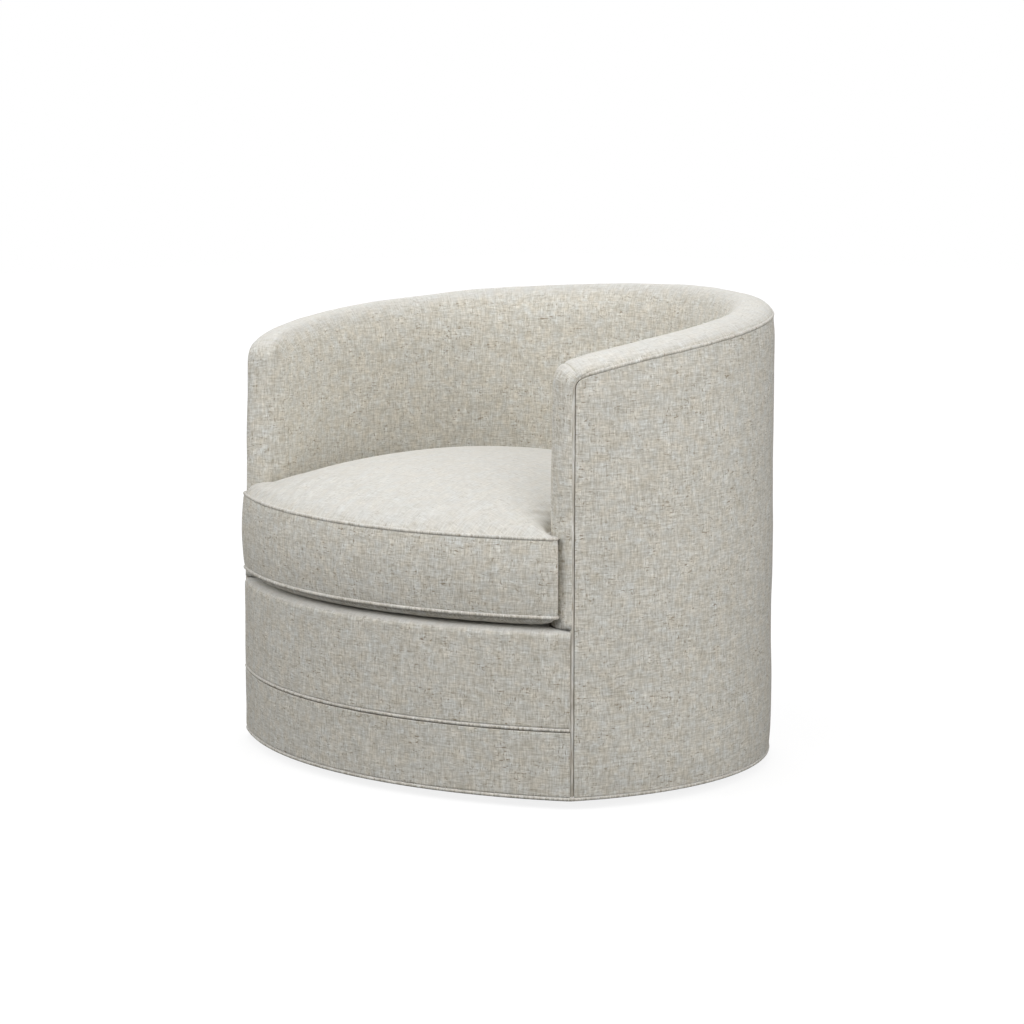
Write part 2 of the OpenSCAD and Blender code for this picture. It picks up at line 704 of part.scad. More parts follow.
module edge_welt() {
  path = seam_offset(seam_from(hem_z + welt_d + fit), welt_r + fit);
  color(linen_light) tube([for (p = both_halves(path)) wall_point(p[0], welt_sink, p[1])], welt_r);
}
module apron_welt() {
  color(linen_light) bow_sweep() translate([front_r - welt_sink, band_z + fit + welt_r])
    circle(r = welt_r, $fn = 24);
}
module hem_welt() {
  z = hem_z + welt_r;
  start = wall_start(welt_sink, welt_sink);
  bow = [for (i = [1:bow_steps * 2 - 1]) let (w = blend(-front_half, front_half, i / (bow_steps * 2)))
    [(front_r - welt_sink) * sin(w), bow_y - (front_r - welt_sink) * cos(w), z]];
  wall = [for (i = [0:2 * top_steps])
    wall_point(blend(start, 360 - start, i / (2 * top_steps)), welt_sink, z)];
  color(linen_light) tube(concat(bow, wall), welt_r, true);
}

// Cushion

// The bow at the cushion's front, which swells least at its ends
cushion_half = asin((front_x - ear_short) / (front_r + cushion_proud));
function cushion_bow(half, inset, swell) = [for (i = [0:bow_steps]) let (t = 2 * i / bow_steps - 1,
  r = front_r + cushion_proud - inset + swell * cos(90 * t)) [r * sin(half * t), bow_y - r * cos(half * t)]];
// The ear at each front corner follows the padded roll of the arm: [distance in front of the seam, depth]
ear_first = acos((crest_n - ear_short) / (crest_n - roll_out));
function ear_curve(t) = t < 0.5
  ? let (w = blend(ear_first, 90, t * 2)) [front_roll_h * sin(w), crest_n - (crest_n - roll_out) * cos(w)]
  : let (w = blend(90, 0, t * 2 - 1), d = roll_foot + inner_edge_r * sin(w))
    [d * roll_stretch_share(d), crest_n + (wall_t + cushion_gap - crest_n) * cos(w)];
function ear_side(side) = [for (i = [0:ear_steps]) let (c = ear_curve(i / ear_steps),
  deg = arc_deg(seam_start - c[0] - cushion_gap), p = wall_point(side > 0 ? deg : 360 - deg, c[1], 0))
  [p[0], p[1]]];
function cushion_wall(z, start, inset) = [for (i = [1:2 * side_steps - 1])
  let (deg = blend(start, 360 - start, i / (2 * side_steps)),
    p = wall_point(deg, inside_depth(deg, z) + cushion_gap + inset, 0)) [p[0], p[1]]];
// The whole outline with its ears, and an outline of as many points without them, drawn in by inset
ear_end = arc_deg(seam_start - roll_foot - cushion_gap);
function cushion_loop(z, swell) = concat(cushion_bow(cushion_half, 0, swell), ear_side(1),
  cushion_wall(z, ear_end, 0), reverse(ear_side(-1)));
function inner_loop(z, inset, cut) = let (
  half = asin((front_x - ear_short - inset - cut) / (front_r + cushion_proud - inset)),
  bow = cushion_bow(half, inset, 0), wall = cushion_wall(z, ear_end + arc_deg(cut), inset),
  last = len(wall) - 1)
  concat(bow,
    [for (n = [1:ear_steps + 1]) blend(bow[bow_steps], wall[0], n / (ear_steps + 2))], wall,
    [for (n = [1:ear_steps + 1]) blend(wall[last], bow[0], n / (ear_steps + 2))]);
function lift(loop, z) = [for (p = loop) [p[0], p[1], z]];
function shrink(loop, k) = [for (p = loop) [p[0] * k, mid_y + (p[1] - mid_y) * k]];
// A closed outline drawn in by d, square to its sides
function side_normal(loop, i) = let (v = loop[(i + 1) % len(loop)] - loop[i]) [-v[1], v[0]] / norm(v);
function drawn_in(loop, d) = [for (i = [0:len(loop) - 1])
  let (a = side_normal(loop, (i + len(loop) - 1) % len(loop)), b = side_normal(loop, i))
  loop[i] + (a + b) * d / (1 + a * b)];
function crown_rise(k) = pow(1 - pow(k, crown_power_shares[0]), crown_power_shares[1]);
// Flat seats for the welts along the top and bottom edges
welt_seat = (welt_r + fit) * sqrt(2) + cushion_welt_sink;
// The cushion's body: the crown's rings from its middle out, the boxing down, then the underside
module cushion_solid(inset, levels_shares) {
  seat = welt_seat + inset / 2;
  crown_z = cushion_top_z - inset * slope_share;
  rest_z = cushion_rest + inset * slope_share;
  edge_rise = cushion_crown * crown_rise(soft_edge_share);
  inner_low = inner_loop(cushion_low_z, soft_edge, low_corner_cut);
  inner_top = inner_loop(cushion_top_z, soft_edge, corner_cut);
  edge_top = drawn_in(cushion_loop(cushion_top_z, 0), seat);
  edge_low = drawn_in(cushion_loop(cushion_low_z, 0), seat);
  puff = blend(edge_top, inner_top, puff_shares[0]);
  rings = concat(
    [for (k = reverse(crown_shares))
      lift(shrink(inner_top, k), crown_z + cushion_crown * crown_rise(soft_edge_share * k))],
    [lift(inner_top, crown_z + edge_rise)],
    [lift(puff, crown_z + edge_rise * puff_shares[1])],
    [lift(edge_top, cushion_top_z - inset)],
    [for (k = reverse(levels_shares)) let (z = blend(cushion_low_z + seat, cushion_top_z - seat, k))
      lift(drawn_in(cushion_loop(z, boxing_swell * sin(180 * k)), inset), z)],
    [lift(edge_low, cushion_low_z + inset)],
    [lift(blend(edge_low, inner_low, puff_shares[0]), cushion_low_z + inset)],
    [lift(inner_low, rest_z)]);
  count = len(rings[0]);
  low_mid = len(rings) * count;
  polyhedron(
    points = concat([for (r = rings) each r], [[0, mid_y, rest_z], [0, mid_y, crown_z + cushion_crown]]),
    faces = concat(ring_sides(len(rings), count, false),
      [for (i = [0:count - 1]) [low_mid + 1, (i + 1) % count, i]],
      [for (i = [0:count - 1]) let (b = (len(rings) - 1) * count) [low_mid, b + i, b + (i + 1) % count]]));
}

module cushion_core() { color(foam_colour) cushion_solid(skin_t + 3 * fit, core_levels_shares); }
module cushion_cover() {
  color(linen) difference() {
    cushion_solid(0, cushion_levels_shares);
    cushion_solid(skin_t, core_levels_shares);
    translate([-zip_l / 2, mid_y, zip_z - zip_w / 2]) cube([zip_l, barrel_r, zip_w]);
  }
}
// The zip lies in a slot across the back of the boxing
module cushion_zip() {
  h = zip_w - 2 * fit;
  color([0.70, 0.67, 0.60]) translate([0, 0, zip_z - h / 2]) intersection() {
    linear_extrude(h) difference() {
      polygon(drawn_in(cushion_loop(zip_z, 0), fit));
      polygon(drawn_in(cushion_loop(zip_z, 0), fit + zip_t));
    }
    translate([fit - zip_l / 2, mid_y, -over]) cube([zip_l - 2 * fit, barrel_r, h + 2 * over]);
  }
}
module cushion_welt(z) { tube(lift(drawn_in(cushion_loop(z, 0), cushion_welt_sink), z), welt_r, true); }
module cushion_welt_top() { color(linen_light) cushion_welt(cushion_top_z); }
module cushion_welt_low() { color(linen_light) cushion_welt(cushion_low_z); }

floor_glides();
base_disc();
lower_plate();
lower_screws();
ball_cage();
balls();
upper_plate();
pivot_rivet();
plate_bolts();
tee_nuts();
swivel_boards();
dust_cover();
bottom_ring();
front_rail();
front_post_right();
front_post_left();
upright_1();
upright_2();
upright_3();
upright_4();
upright_5();
upright_6();
upright_7();
top_rail();
seat_ring();
seat_springs();
spring_clips();
spring_insulator();
deck_pad();
deck_cloth();
outer_liner();
inner_liner();
apron_liner();
inside_foam();
inside_cover();
roll_foam();
roll_cover();
outer_cover();
apron_cover();
apron_band();
edge_welt();
apron_welt();
hem_welt();
cushion_core();
cushion_cover();
cushion_zip();
cushion_welt_top();
cushion_welt_low();
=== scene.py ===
"""The looks of a swivel barrel chair: cloth, welts, cushion and mechanism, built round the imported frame."""

import logging
import math
from dataclasses import dataclass
from enum import Enum
from typing import Callable, Sequence

import bmesh
import bpy
import numpy as np
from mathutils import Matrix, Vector
from mathutils.geometry import delaunay_2d_cdt


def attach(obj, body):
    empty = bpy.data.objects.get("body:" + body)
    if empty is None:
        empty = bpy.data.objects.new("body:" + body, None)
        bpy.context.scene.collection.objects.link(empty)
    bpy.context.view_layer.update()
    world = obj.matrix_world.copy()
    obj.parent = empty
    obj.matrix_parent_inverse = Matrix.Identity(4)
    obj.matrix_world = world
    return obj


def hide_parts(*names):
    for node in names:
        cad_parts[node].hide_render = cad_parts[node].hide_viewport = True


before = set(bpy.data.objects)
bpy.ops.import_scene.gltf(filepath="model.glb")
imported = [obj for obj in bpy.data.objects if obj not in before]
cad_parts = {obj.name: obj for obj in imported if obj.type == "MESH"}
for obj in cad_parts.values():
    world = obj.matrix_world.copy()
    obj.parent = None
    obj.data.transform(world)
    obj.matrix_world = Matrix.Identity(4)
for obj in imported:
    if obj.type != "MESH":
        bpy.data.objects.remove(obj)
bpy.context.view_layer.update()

log = logging.getLogger("barrel_chair")
Colour = tuple[float, float, float]
Waves = tuple[tuple[float, int, float], ...]


# ---- The shape of the tub, which every cloth surface follows


@dataclass(frozen=True)
class TubShape:
    """Sizes of the tub, in metres and degrees, and the curves that follow from them."""

    radius: float = 0.419
    arm_angle: float = 60.2
    front_bow: float = 0.112
    hem_height: float = 0.012
    arm_height: float = 0.608
    back_height: float = 0.695
    arm_lean: float = 0.003
    arm_draw: float = 0.007
    front_fade: float = 0.150
    corner_leg: float = 0.0128
    seam_drop: float = 0.0040
    front_drop: float = 0.0014
    crest_drop: float = 0.0024
    wall: float = 0.076
    crest: float = 0.045
    roll_rise: float = 0.0185
    front_roll_rise: float = 0.0245
    inner_edge: float = 0.030
    soft_reach: float = 0.078
    cloth_out: float = 0.0008
    fullness: float = 0.87
    back_pitch: float = 0.055
    frame_depth: float = 0.0312
    welt_radius: float = 0.003
    cord_radius: float = 0.0028
    welt_sink: float = 0.0019
    upright_sink: float = 0.0018
    seam_gap: float = 0.0003
    apron_top: float = 0.259
    band_top: float = 0.111
    apron_edge: float = 0.0120
    apron_fall: float = 0.0120
    apron_sag: float = 0.0016
    apron_flange: float = 0.069
    seat_low: float = 0.2383
    cushion_proud: float = 0.003
    boxing_swell: float = 0.005
    rise_power: float = 0.584
    stretch_reach: float = 0.006
    back_fade: tuple[float, float] = (0.03, 0.12)
    settled_heights: tuple[float, float] = (0.44, 0.56)
    pitch_soft: float = 0.04
    crest_soft: float = 0.009

    @property
    def front_x(self) -> float:
        """How far each arm front lies from the middle."""
        return self.radius * math.sin(math.radians(self.arm_angle))

    @property
    def front_y(self) -> float:
        """How far the arm fronts lie from the barrel's centre, along Y."""
        return -self.radius * math.cos(math.radians(self.arm_angle))

    @property
    def bow_radius(self) -> float:
        """Radius of the bowed front."""
        return (self.front_x**2 + self.front_bow**2) / (2 * self.front_bow)

    @property
    def mid_y(self) -> float:
        """Y of the barrel's centre."""
        front = self.front_bow - self.front_y + self.cushion_proud + self.boxing_swell
        return (front - self.radius - self.welt_radius + self.welt_sink) / 2

    @property
    def bow_y(self) -> float:
        """Y of the centre of the bowed front."""
        return self.mid_y + self.front_y - self.front_bow + self.bow_radius

    @property
    def half_round(self) -> float:
        """Length of the wall from the front middle round to the back middle."""
        return math.pi * self.radius

    @property
    def seam_start(self) -> float:
        """Length along the wall at which the seam of each arm front stands."""
        return math.radians(self.arm_angle) * self.radius + 2 * self.welt_radius + 2 * self.seam_gap

    @property
    def roll_low(self) -> float:
        """Height at which the rolls of the arm fronts stand on the apron."""
        return self.apron_top + self.seam_gap

    @property
    def roll_out(self) -> float:
        """Depth at which the padded roll starts behind the welt."""
        return self.welt_sink + self.welt_radius + 2 * self.seam_gap

    @property
    def roll_foot(self) -> float:
        """Height over the seam at which the roll becomes the inside wall. It is below the seam."""
        return self.roll_rise - self.inner_edge

    def from_front(self, run: np.ndarray) -> np.ndarray:
        """How far along the wall a place lies from the seam of the nearer arm front."""
        return np.minimum(run, 2 * self.half_round - run) - self.seam_start

    def front_corner(self, wall: float, bow: float) -> tuple[float, float]:
        """Where a circle round the barrel's centre meets one round the bow's centre.

        Args:
            wall: the radius of the barrel's circle.
            bow: the radius of the bow's circle.

        Returns:
            The angles of that place from the front middle, seen from the two centres.
        """
        d = self.bow_y - self.mid_y
        start = math.acos(-((wall * wall - bow * bow + d * d) / (2 * d)) / wall)
        return start, math.asin(wall * math.sin(start) / bow)

    def wall_point(self, run: np.ndarray, depth: np.ndarray, z: np.ndarray) -> np.ndarray:
        """Places points of the wall.

        Args:
            run: lengths round the outside from the front middle.
            depth: how deep each point lies inside the outside surface.
            z: heights.

        Returns:
            The points, one row each.
        """
        run, depth, z = np.broadcast_arrays(*(np.asarray(a, float) for a in (run, depth, z)))
        share = np.maximum(0, z - self.roll_low) / (self.arm_height - self.roll_low)
        share = share * np.clip(1 - self.from_front(run) / self.front_fade, 0, 1) ** 2
        side = np.where(run < self.half_round, 1.0, -1.0)
        turned = (run + side * self.arm_lean * share) / self.radius
        outer = np.clip((self.wall - depth) / (self.wall - self.frame_depth), 0, 1)
        r = self.radius - depth - self.arm_draw * share * outer
        return np.stack([r * np.sin(turned), self.mid_y - r * np.cos(turned), z], axis=-1)

    def seam_height(self, run: np.ndarray) -> np.ndarray:
        """Height of the outside seam along the wall."""
        low = math.cos(math.radians(self.arm_angle))
        k = np.clip((low - np.cos(np.asarray(run) / self.radius)) / (1 + low), 0, None)
        return self.arm_height + (self.back_height - self.arm_height) * k**self.rise_power

    def corner(self, t: np.ndarray) -> np.ndarray:
        """Points of the rounded corner of the seam at each arm front, as [run, height]."""
        end_run = self.seam_start + self.corner_leg
        step = 0.001
        end = np.array([end_run, float(self.seam_height(end_run))])
        slope = (float(self.seam_height(end_run + step)) - end[1]) / step
        peak = np.array([self.seam_start, end[1] - slope * self.corner_leg])
        low = peak - [0, self.corner_leg]
        t = np.asarray(t)[:, None]
        return (low * (1 - t) + peak * t) * (1 - t) + (peak * (1 - t) + end * t) * t

    def half_seam(self, low: float, upright: int, corner: np.ndarray, top: int) -> np.ndarray:
        """The seam from low up one arm front and round to the middle of the back.

        Args:
            low: the height at which it starts.
            upright: how many points stand below the corner.
            corner: the places of the points round the corner, from 0 to 1.
            top: how many points follow along the top.

        Returns:
            The points as [run, height], in the unrolled wall.
        """
        bend = self.corner(corner)
        heights = np.linspace(low, bend[0, 1], upright + 1)[:-1]
        post = np.stack([np.full(upright, self.seam_start), heights], 1)
        run = np.linspace(bend[-1, 0], self.half_round, top + 1)[1:]
        return np.concatenate([post, bend, np.stack([run, self.seam_height(run)], 1)])

    def offset(self, path: np.ndarray, d: float, stretch: bool = True) -> np.ndarray:
        """Moves a seam outwards by d, square to itself in the unrolled wall.

        Args:
            path: points as [run, height].
            d: the distance, negative for inwards.
            stretch: whether the forward part grows as the rolls of the arm fronts do.

        Returns:
            The moved points.
        """
        t = np.gradient(path, axis=0)
        t /= np.linalg.norm(t, axis=1)[:, None]
        t[-1] = [1, 0]
        grow = self.front_roll_rise / self.roll_rise - 1
        k = min(1.0, max(0.0, d / self.stretch_reach))
        share = 1 + (grow * k * k * (3 - 2 * k) if stretch else 0)
        return path + np.stack([-t[:, 1] * share, t[:, 0]], 1) * d

    def settled(self, path: np.ndarray, seam: float, crest: float) -> np.ndarray:
        """Lowers a path as the cloth draws it down: by shares of the seam's drop and of the crest's drop."""
        back = smoothstep(self.from_front(path[:, 0]), *self.back_fade)
        drop = seam * (self.seam_drop + self.front_drop * (1 - back)) + crest * self.crest_drop * back
        drop = drop * smoothstep(path[:, 1], *self.settled_heights)
        return path - np.stack([np.zeros_like(drop), drop], 1)

    def whole(self, half: np.ndarray) -> np.ndarray:
        """Adds the other half of the wall to one half of a path, mirrored, without doubling the middle."""
        other = half[-2::-1].copy()
        other[:, 0] = 2 * self.half_round - other[:, 0]
        return np.concatenate([half, other])

    def inside_depth(self, run: np.ndarray, z: np.ndarray) -> np.ndarray:
        """How deep the inside surface lies at a place along the wall and a height."""
        f = 1 - (np.asarray(z) - self.seat_low) / (self.arm_height - self.seat_low)
        f = (f + np.sqrt(f * f + self.pitch_soft * self.pitch_soft)) / 2
        back = np.maximum(0, -np.cos(np.asarray(run) / self.radius)) ** 2
        return self.wall + self.back_pitch * back * f

    def soft_share(self, inwards: np.ndarray) -> np.ndarray:
        """Share of the wall's full depth that the padding has at a distance inwards of the crest's line."""
        return np.sqrt(1 - (1 - np.clip(np.asarray(inwards) / self.soft_reach, 0, 1)) ** 2)

    def from_crest(self, run: np.ndarray, z: np.ndarray) -> np.ndarray:
        """How far inwards of the crest's line a place of the wall lies, rounded off at the arm corners."""
        near = np.minimum(run, 2 * self.half_round - run)
        ahead = near - (self.seam_start - self.front_roll_rise)
        below = self.seam_height(near) + self.roll_rise - np.asarray(z)
        low = np.minimum(ahead, below)
        return low - self.crest_soft * np.log1p(np.exp(-np.abs(ahead - below) / self.crest_soft))

    def bow_point(self, angle: np.ndarray, depth: np.ndarray, z: np.ndarray) -> np.ndarray:
        """Points of the bowed front, from angles in radians from its middle, depths behind it and heights."""
        angle, depth, z = np.broadcast_arrays(*(np.asarray(a, float) for a in (angle, depth, z)))
        r = self.bow_radius - depth
        return np.stack([r * np.sin(angle), self.bow_y - r * np.cos(angle), z], axis=-1)


TUB = TubShape()


# ---- Meshes


def smoothstep(x: np.ndarray, low: float, high: float) -> np.ndarray:
    """Rises softly from 0 at low to 1 at high."""
    t = np.clip((np.asarray(x, float) - low) / (high - low), 0, 1)
    return t * t * (3 - 2 * t)


CLOSE_STEPS = np.array([0.0, 0.0004, 0.0009, 0.0015, 0.0023, 0.0035, 0.0055])
CLOSE_REACH = 0.009
WAVE_COUNT = 7


def spaced(low: float, high: float, count: int) -> np.ndarray:
    """Values from low to high that lie close together at both ends, where cloth turns into a seam."""
    middle = np.linspace(low + CLOSE_REACH, high - CLOSE_REACH, count)
    return np.concatenate([low + CLOSE_STEPS, middle, (high - CLOSE_STEPS)[::-1]])


def tuck_depth(to_seam: np.ndarray, depth: float, width: float) -> np.ndarray:
    """How deep cloth is drawn in at a distance from its seam."""
    return depth * (1 - np.clip(np.asarray(to_seam) / width, 0, 1)) ** 2


def soft_waves(points: np.ndarray, length: float, seed: int) -> np.ndarray:
    """A smooth random value from about -1 to 1 at each point, the same on every run.

    Args:
        points: the places.
        length: about how long one wave is.
        seed: which waves.

    Returns:
        One value for each point.
    """
    rng = np.random.default_rng(seed)
    total = np.zeros(points.shape[:-1])
    for _ in range(WAVE_COUNT):
        way = rng.normal(size=points.shape[-1])
        way /= np.linalg.norm(way)
        period = length * rng.uniform(0.7, 1.6)
        total += np.sin(points @ way * 2 * math.pi / period + rng.uniform(0, 2 * math.pi))
    return total / (WAVE_COUNT / 2)


def unevenness(points: np.ndarray, waves: Waves) -> np.ndarray:
    """The sum of some soft waves, each given by its length, its seed and its height."""
    return sum(soft_waves(points, length, seed) * height for length, seed, height in waves)


def lengths_along(line: np.ndarray) -> np.ndarray:
    """The length from a line's start to each of its points."""
    return np.concatenate([[0], np.cumsum(np.linalg.norm(np.diff(line, axis=0), axis=1))])


def points_at(line: np.ndarray, lengths: np.ndarray, marks: np.ndarray) -> np.ndarray:
    """The points of a line at some marks, where lengths holds the length at each of its own points."""
    return np.stack([np.interp(marks, lengths, line[:, k]) for k in range(line.shape[1])], 1)


def inward(loop: np.ndarray) -> np.ndarray:
    """The direction square to a closed line of the plan at each of its points, towards its inside."""
    ahead = np.roll(loop, -1, axis=0) - np.roll(loop, 1, axis=0)
    ahead /= np.linalg.norm(ahead, axis=1)[:, None]
    return np.stack([-ahead[:, 1], ahead[:, 0]], 1)


def grid_faces(rows: int, cols: int, start: int = 0, closed: bool = False) -> list[tuple[int, ...]]:
    """Quads between the rows of a grid of points. A closed one has its last column joined to its first."""
    wide = cols if closed else cols - 1
    return [(start + r * cols + c, start + r * cols + (c + 1) % cols,
             start + (r + 1) * cols + (c + 1) % cols, start + (r + 1) * cols + c)
            for r in range(rows - 1) for c in range(wide)]


def add_object(name: str, data: bpy.types.ID) -> bpy.types.Object:
    """Puts a new object with that data into the scene."""
    made = bpy.data.objects.new(name, data)
    bpy.context.scene.collection.objects.link(made)
    return made


def new_object(name: str, points: np.ndarray, faces: Sequence[Sequence[int]],
               uv: np.ndarray | None = None) -> bpy.types.Object:
    """Makes a smooth shaded mesh object at the origin.

    Args:
        name: the piece's name.
        points: its vertices.
        faces: its faces, as vertex numbers.
        uv: one pair for each vertex, or one for each face corner.

    Returns:
        The object, linked into the scene.
    """
    mesh = bpy.data.meshes.new(name)
    mesh.from_pydata([tuple(p) for p in points.reshape(-1, 3)], [], [tuple(f) for f in faces])
    if uv is not None:
        flat = uv.reshape(-1, 2)
        if len(flat) == len(mesh.vertices):
            corner = np.zeros(len(mesh.loops), np.int32)
            mesh.loops.foreach_get("vertex_index", corner)
            flat = flat[corner]
        layer = mesh.uv_layers.new(name="UVMap")
        layer.data.foreach_set("uv", flat.astype(np.float32).ravel())
    mesh.shade_smooth()
    return add_object(name, mesh)


def points_of(obj: bpy.types.Object) -> np.ndarray:
    """The vertices of a mesh object."""
    return np.array([v.co for v in obj.data.vertices])


def move_to(obj: bpy.types.Object, points: np.ndarray) -> None:
    """Puts the vertices of a mesh object in new places."""
    obj.data.vertices.foreach_set("co", points.astype(np.float32).ravel())
    obj.data.update()


def raise_cloth(obj: bpy.types.Object, lift: Callable[[np.ndarray], np.ndarray]) -> None:
    """Moves the vertices of a mesh object along their normals, by what lift says for their places."""
    points = points_of(obj)
    normals = np.array([v.normal for v in obj.data.vertices])
    move_to(obj, points + normals * lift(points)[:, None])


def tidy_mesh(obj: bpy.types.Object, weld: float = 0.00005, recalc: bool = True) -> None:
    """Merges doubles, and turns the faces of a closed shell outwards."""
    bm = bmesh.new()
    bm.from_mesh(obj.data)
    bmesh.ops.remove_doubles(bm, verts=bm.verts, dist=weld)
    if recalc:
        bmesh.ops.recalc_face_normals(bm, faces=bm.faces)
    bm.to_mesh(obj.data)
    bm.free()


def face_towards(obj: bpy.types.Object, wanted: Callable[[np.ndarray], np.ndarray]) -> None:
    """Flips an open sheet if most of it faces away from the wanted directions."""
    mesh = obj.data
    centres = np.array([p.center for p in mesh.polygons])
    normals = np.array([p.normal for p in mesh.polygons])
    if (np.einsum("ij,ij->i", normals, wanted(centres)) > 0).mean() < 0.5:
        mesh.flip_normals()


def thicken(obj: bpy.types.Object, thickness: float) -> None:
    """Gives a sheet its thickness behind its face, with a closed rim, as part of its mesh."""
    solid = obj.modifiers.new("cloth_thickness", "SOLIDIFY")
    solid.thickness = thickness
    solid.offset = -1.0
    solid.use_rim = True
    solid.use_even_offset = False
    settle(obj)


def settle(obj: bpy.types.Object) -> None:
    """Turns what an object's modifiers make into its own plain mesh, and takes them off."""
    graph = bpy.context.evaluated_depsgraph_get()
    graph.update()
    old = obj.data
    mesh = bpy.data.meshes.new_from_object(obj.evaluated_get(graph))
    obj.modifiers.clear()
    obj.data = mesh
    mesh.name = obj.name
    if old.users == 0:
        bpy.data.meshes.remove(old)


def paint_top_light(obj: bpy.types.Object) -> None:
    """Stores how far each part of a cloth lies face up. This is painted top light: face-up cloth is painted
    paler and more even, standing in for the brighter light that falls on top.
    """
    up = np.array([v.normal.z for v in obj.data.vertices])
    share = smoothstep(up, 0.25, 0.85).astype(np.float32)
    obj.data.attributes.new("worn", "FLOAT", "POINT").data.foreach_set("value", share)


def dress(obj: bpy.types.Object, material: bpy.types.Material, body: str, slot: str,
          *nodes: str) -> None:
    """Finishes a piece: its material, its body and the nodes it stands for. The slot is not used."""
    obj.data.materials.clear()
    obj.data.materials.append(material)
    # painted top light: face-up cloth gets a paler, more even colour for the brighter light on top
    paint_top_light(obj)
    if nodes:
        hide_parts(*nodes)
    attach(obj, body)
    log.info("%s: %d faces on %s", obj.name, len(obj.data.polygons), body)


# ---- Shader maths and finishes


class Value:
    """A value in a shader. Python's operators on it add Math nodes."""

    def __init__(self, maker: "Maker", socket: bpy.types.NodeSocket) -> None:
        """Wraps an output socket of a node that the maker added."""
        self.maker = maker
        self.socket = socket

    def _math(self, operation: str, *values: "Value | float") -> "Value":
        """Adds one Math node."""
        return self.maker.node("ShaderNodeMath", {"operation": operation}, dict(enumerate(values)))

    def __add__(self, other: "Value | float") -> "Value":
        """Sum."""
        return self._math("ADD", self, other)

    def __sub__(self, other: "Value | float") -> "Value":
        """Difference."""
        return self._math("SUBTRACT", self, other)

    def __rsub__(self, other: float) -> "Value":
        """Difference from a number."""
        return self._math("SUBTRACT", other, self)

    def __mul__(self, other: "Value | float") -> "Value":
        """Product."""
        return self._math("MULTIPLY", self, other)

    def __truediv__(self, other: "Value | float") -> "Value":
        """Quotient."""
        return self._math("DIVIDE", self, other)

    __radd__ = __add__
    __rmul__ = __mul__

    def wave(self, period: float) -> "Value":
        """A sine of this value, from -1 to 1, with that period."""
        return self._math("SINE", self * (2 * math.pi / period))

    def highest(self, other: "Value | float") -> "Value":
        """The larger of two values."""
        return self._math("MAXIMUM", self, other)

    def size(self) -> "Value":
        """The value without its sign."""
        return self._math("ABSOLUTE", self)

    def rise(self, low: float, high: float) -> "Value":
        """Rises softly from 0 at low to 1 at high."""
        return self.maker.node("ShaderNodeMapRange", {"interpolation_type": "SMOOTHSTEP"},
                               {0: self, 1: low, 2: high, 3: 0.0, 4: 1.0})


class Maker:
    """Builds one material's nodes."""

    def __init__(self, name: str) -> None:
        """Starts an empty material of that name."""
        self.material = bpy.data.materials.new(name)
        self.material.use_nodes = True
        self.tree = self.material.node_tree
        self.tree.nodes.clear()

    def node(self, kind: str, settings: dict | None = None, inputs: dict | None = None,
             out: int | str = 0) -> Value:
        """Adds one node.

        Args:
            kind: the node's type.
            settings: what is set on the node itself, first of all. "stops" holds a colour ramp's stops.
            inputs: a value or a link for each socket, by number or name.
            out: which output is wanted.

        Returns:
            That output.
        """
        made = self.tree.nodes.new(kind)
        for key, value in (settings or {}).items():
            if key == "stops":
                ramp = made.color_ramp
                while len(ramp.elements) < len(value):
                    ramp.elements.new(0.5)
                for element, (place, colour) in zip(ramp.elements, value):
                    element.position = place
                    element.color = (*colour, 1.0)
            else:
                setattr(made, key, value)
        for key, value in (inputs or {}).items():
            socket = made.inputs[key]
            if isinstance(value, Value):
                self.tree.links.new(value.socket, socket)
            elif socket.type == "RGBA":
                socket.default_value = (*value, 1.0)
            else:
                socket.default_value = value
        return Value(self, made.outputs[out])

    def place(self, source: "Place") -> tuple[Value, Value, Value]:
        """The three parts of where a point of the surface lies, in metres."""
        if source is Place.CLOTH:
            vector = self.node("ShaderNodeUVMap", {"uv_map": "UVMap"})
        else:
            vector = self.node("ShaderNodeTexCoord", out="Object")
        split = self.node("ShaderNodeSeparateXYZ", inputs={0: vector})
        outputs = split.socket.node.outputs
        return Value(self, outputs[0]), Value(self, outputs[1]), Value(self, outputs[2])

    def noise(self, x: "Value | float", y: "Value | float", z: "Value | float", detail: float = 2.0,
              rough: float = 0.5) -> Value:
        """Smooth noise from 0 to 1 at a place that is already in units of the noise's own size."""
        vector = self.node("ShaderNodeCombineXYZ", inputs={0: x, 1: y, 2: z})
        return self.node("ShaderNodeTexNoise", {"noise_dimensions": "3D"},
                         {"Vector": vector, "Scale": 1.0, "Detail": detail, "Roughness": rough})

    def mix(self, factor: "Value | float", a: "Value | Colour", b: "Value | Colour") -> Value:
        """Mixes two colours."""
        return self.node("ShaderNodeMix", {"data_type": "RGBA"}, {0: factor, 6: a, 7: b}, 2)

    def bump(self, height: Value, distance: float, strength: float = 1.0) -> Value:
        """A normal from a height."""
        return self.node("ShaderNodeBump",
                         inputs={"Height": height, "Distance": distance, "Strength": strength})

    def surface(self, **sockets: "Value | float | Colour") -> bpy.types.Material:
        """Ends the material in a Principled surface whose sockets are named with underscores for spaces."""
        shader = self.node("ShaderNodeBsdfPrincipled",
                           inputs={key.replace("_", " "): value for key, value in sockets.items()})
        self.end(shader)
        return self.material

    def end(self, shader: Value) -> None:
        """Links a shader to the material's output."""
        output = self.tree.nodes.new("ShaderNodeOutputMaterial")
        self.tree.links.new(shader.socket, output.inputs[0])


class Place(Enum):
    """Where a finish reads its pattern from."""

    CLOTH = "the cloth's own map"
    SOLID = "the piece's coordinates"


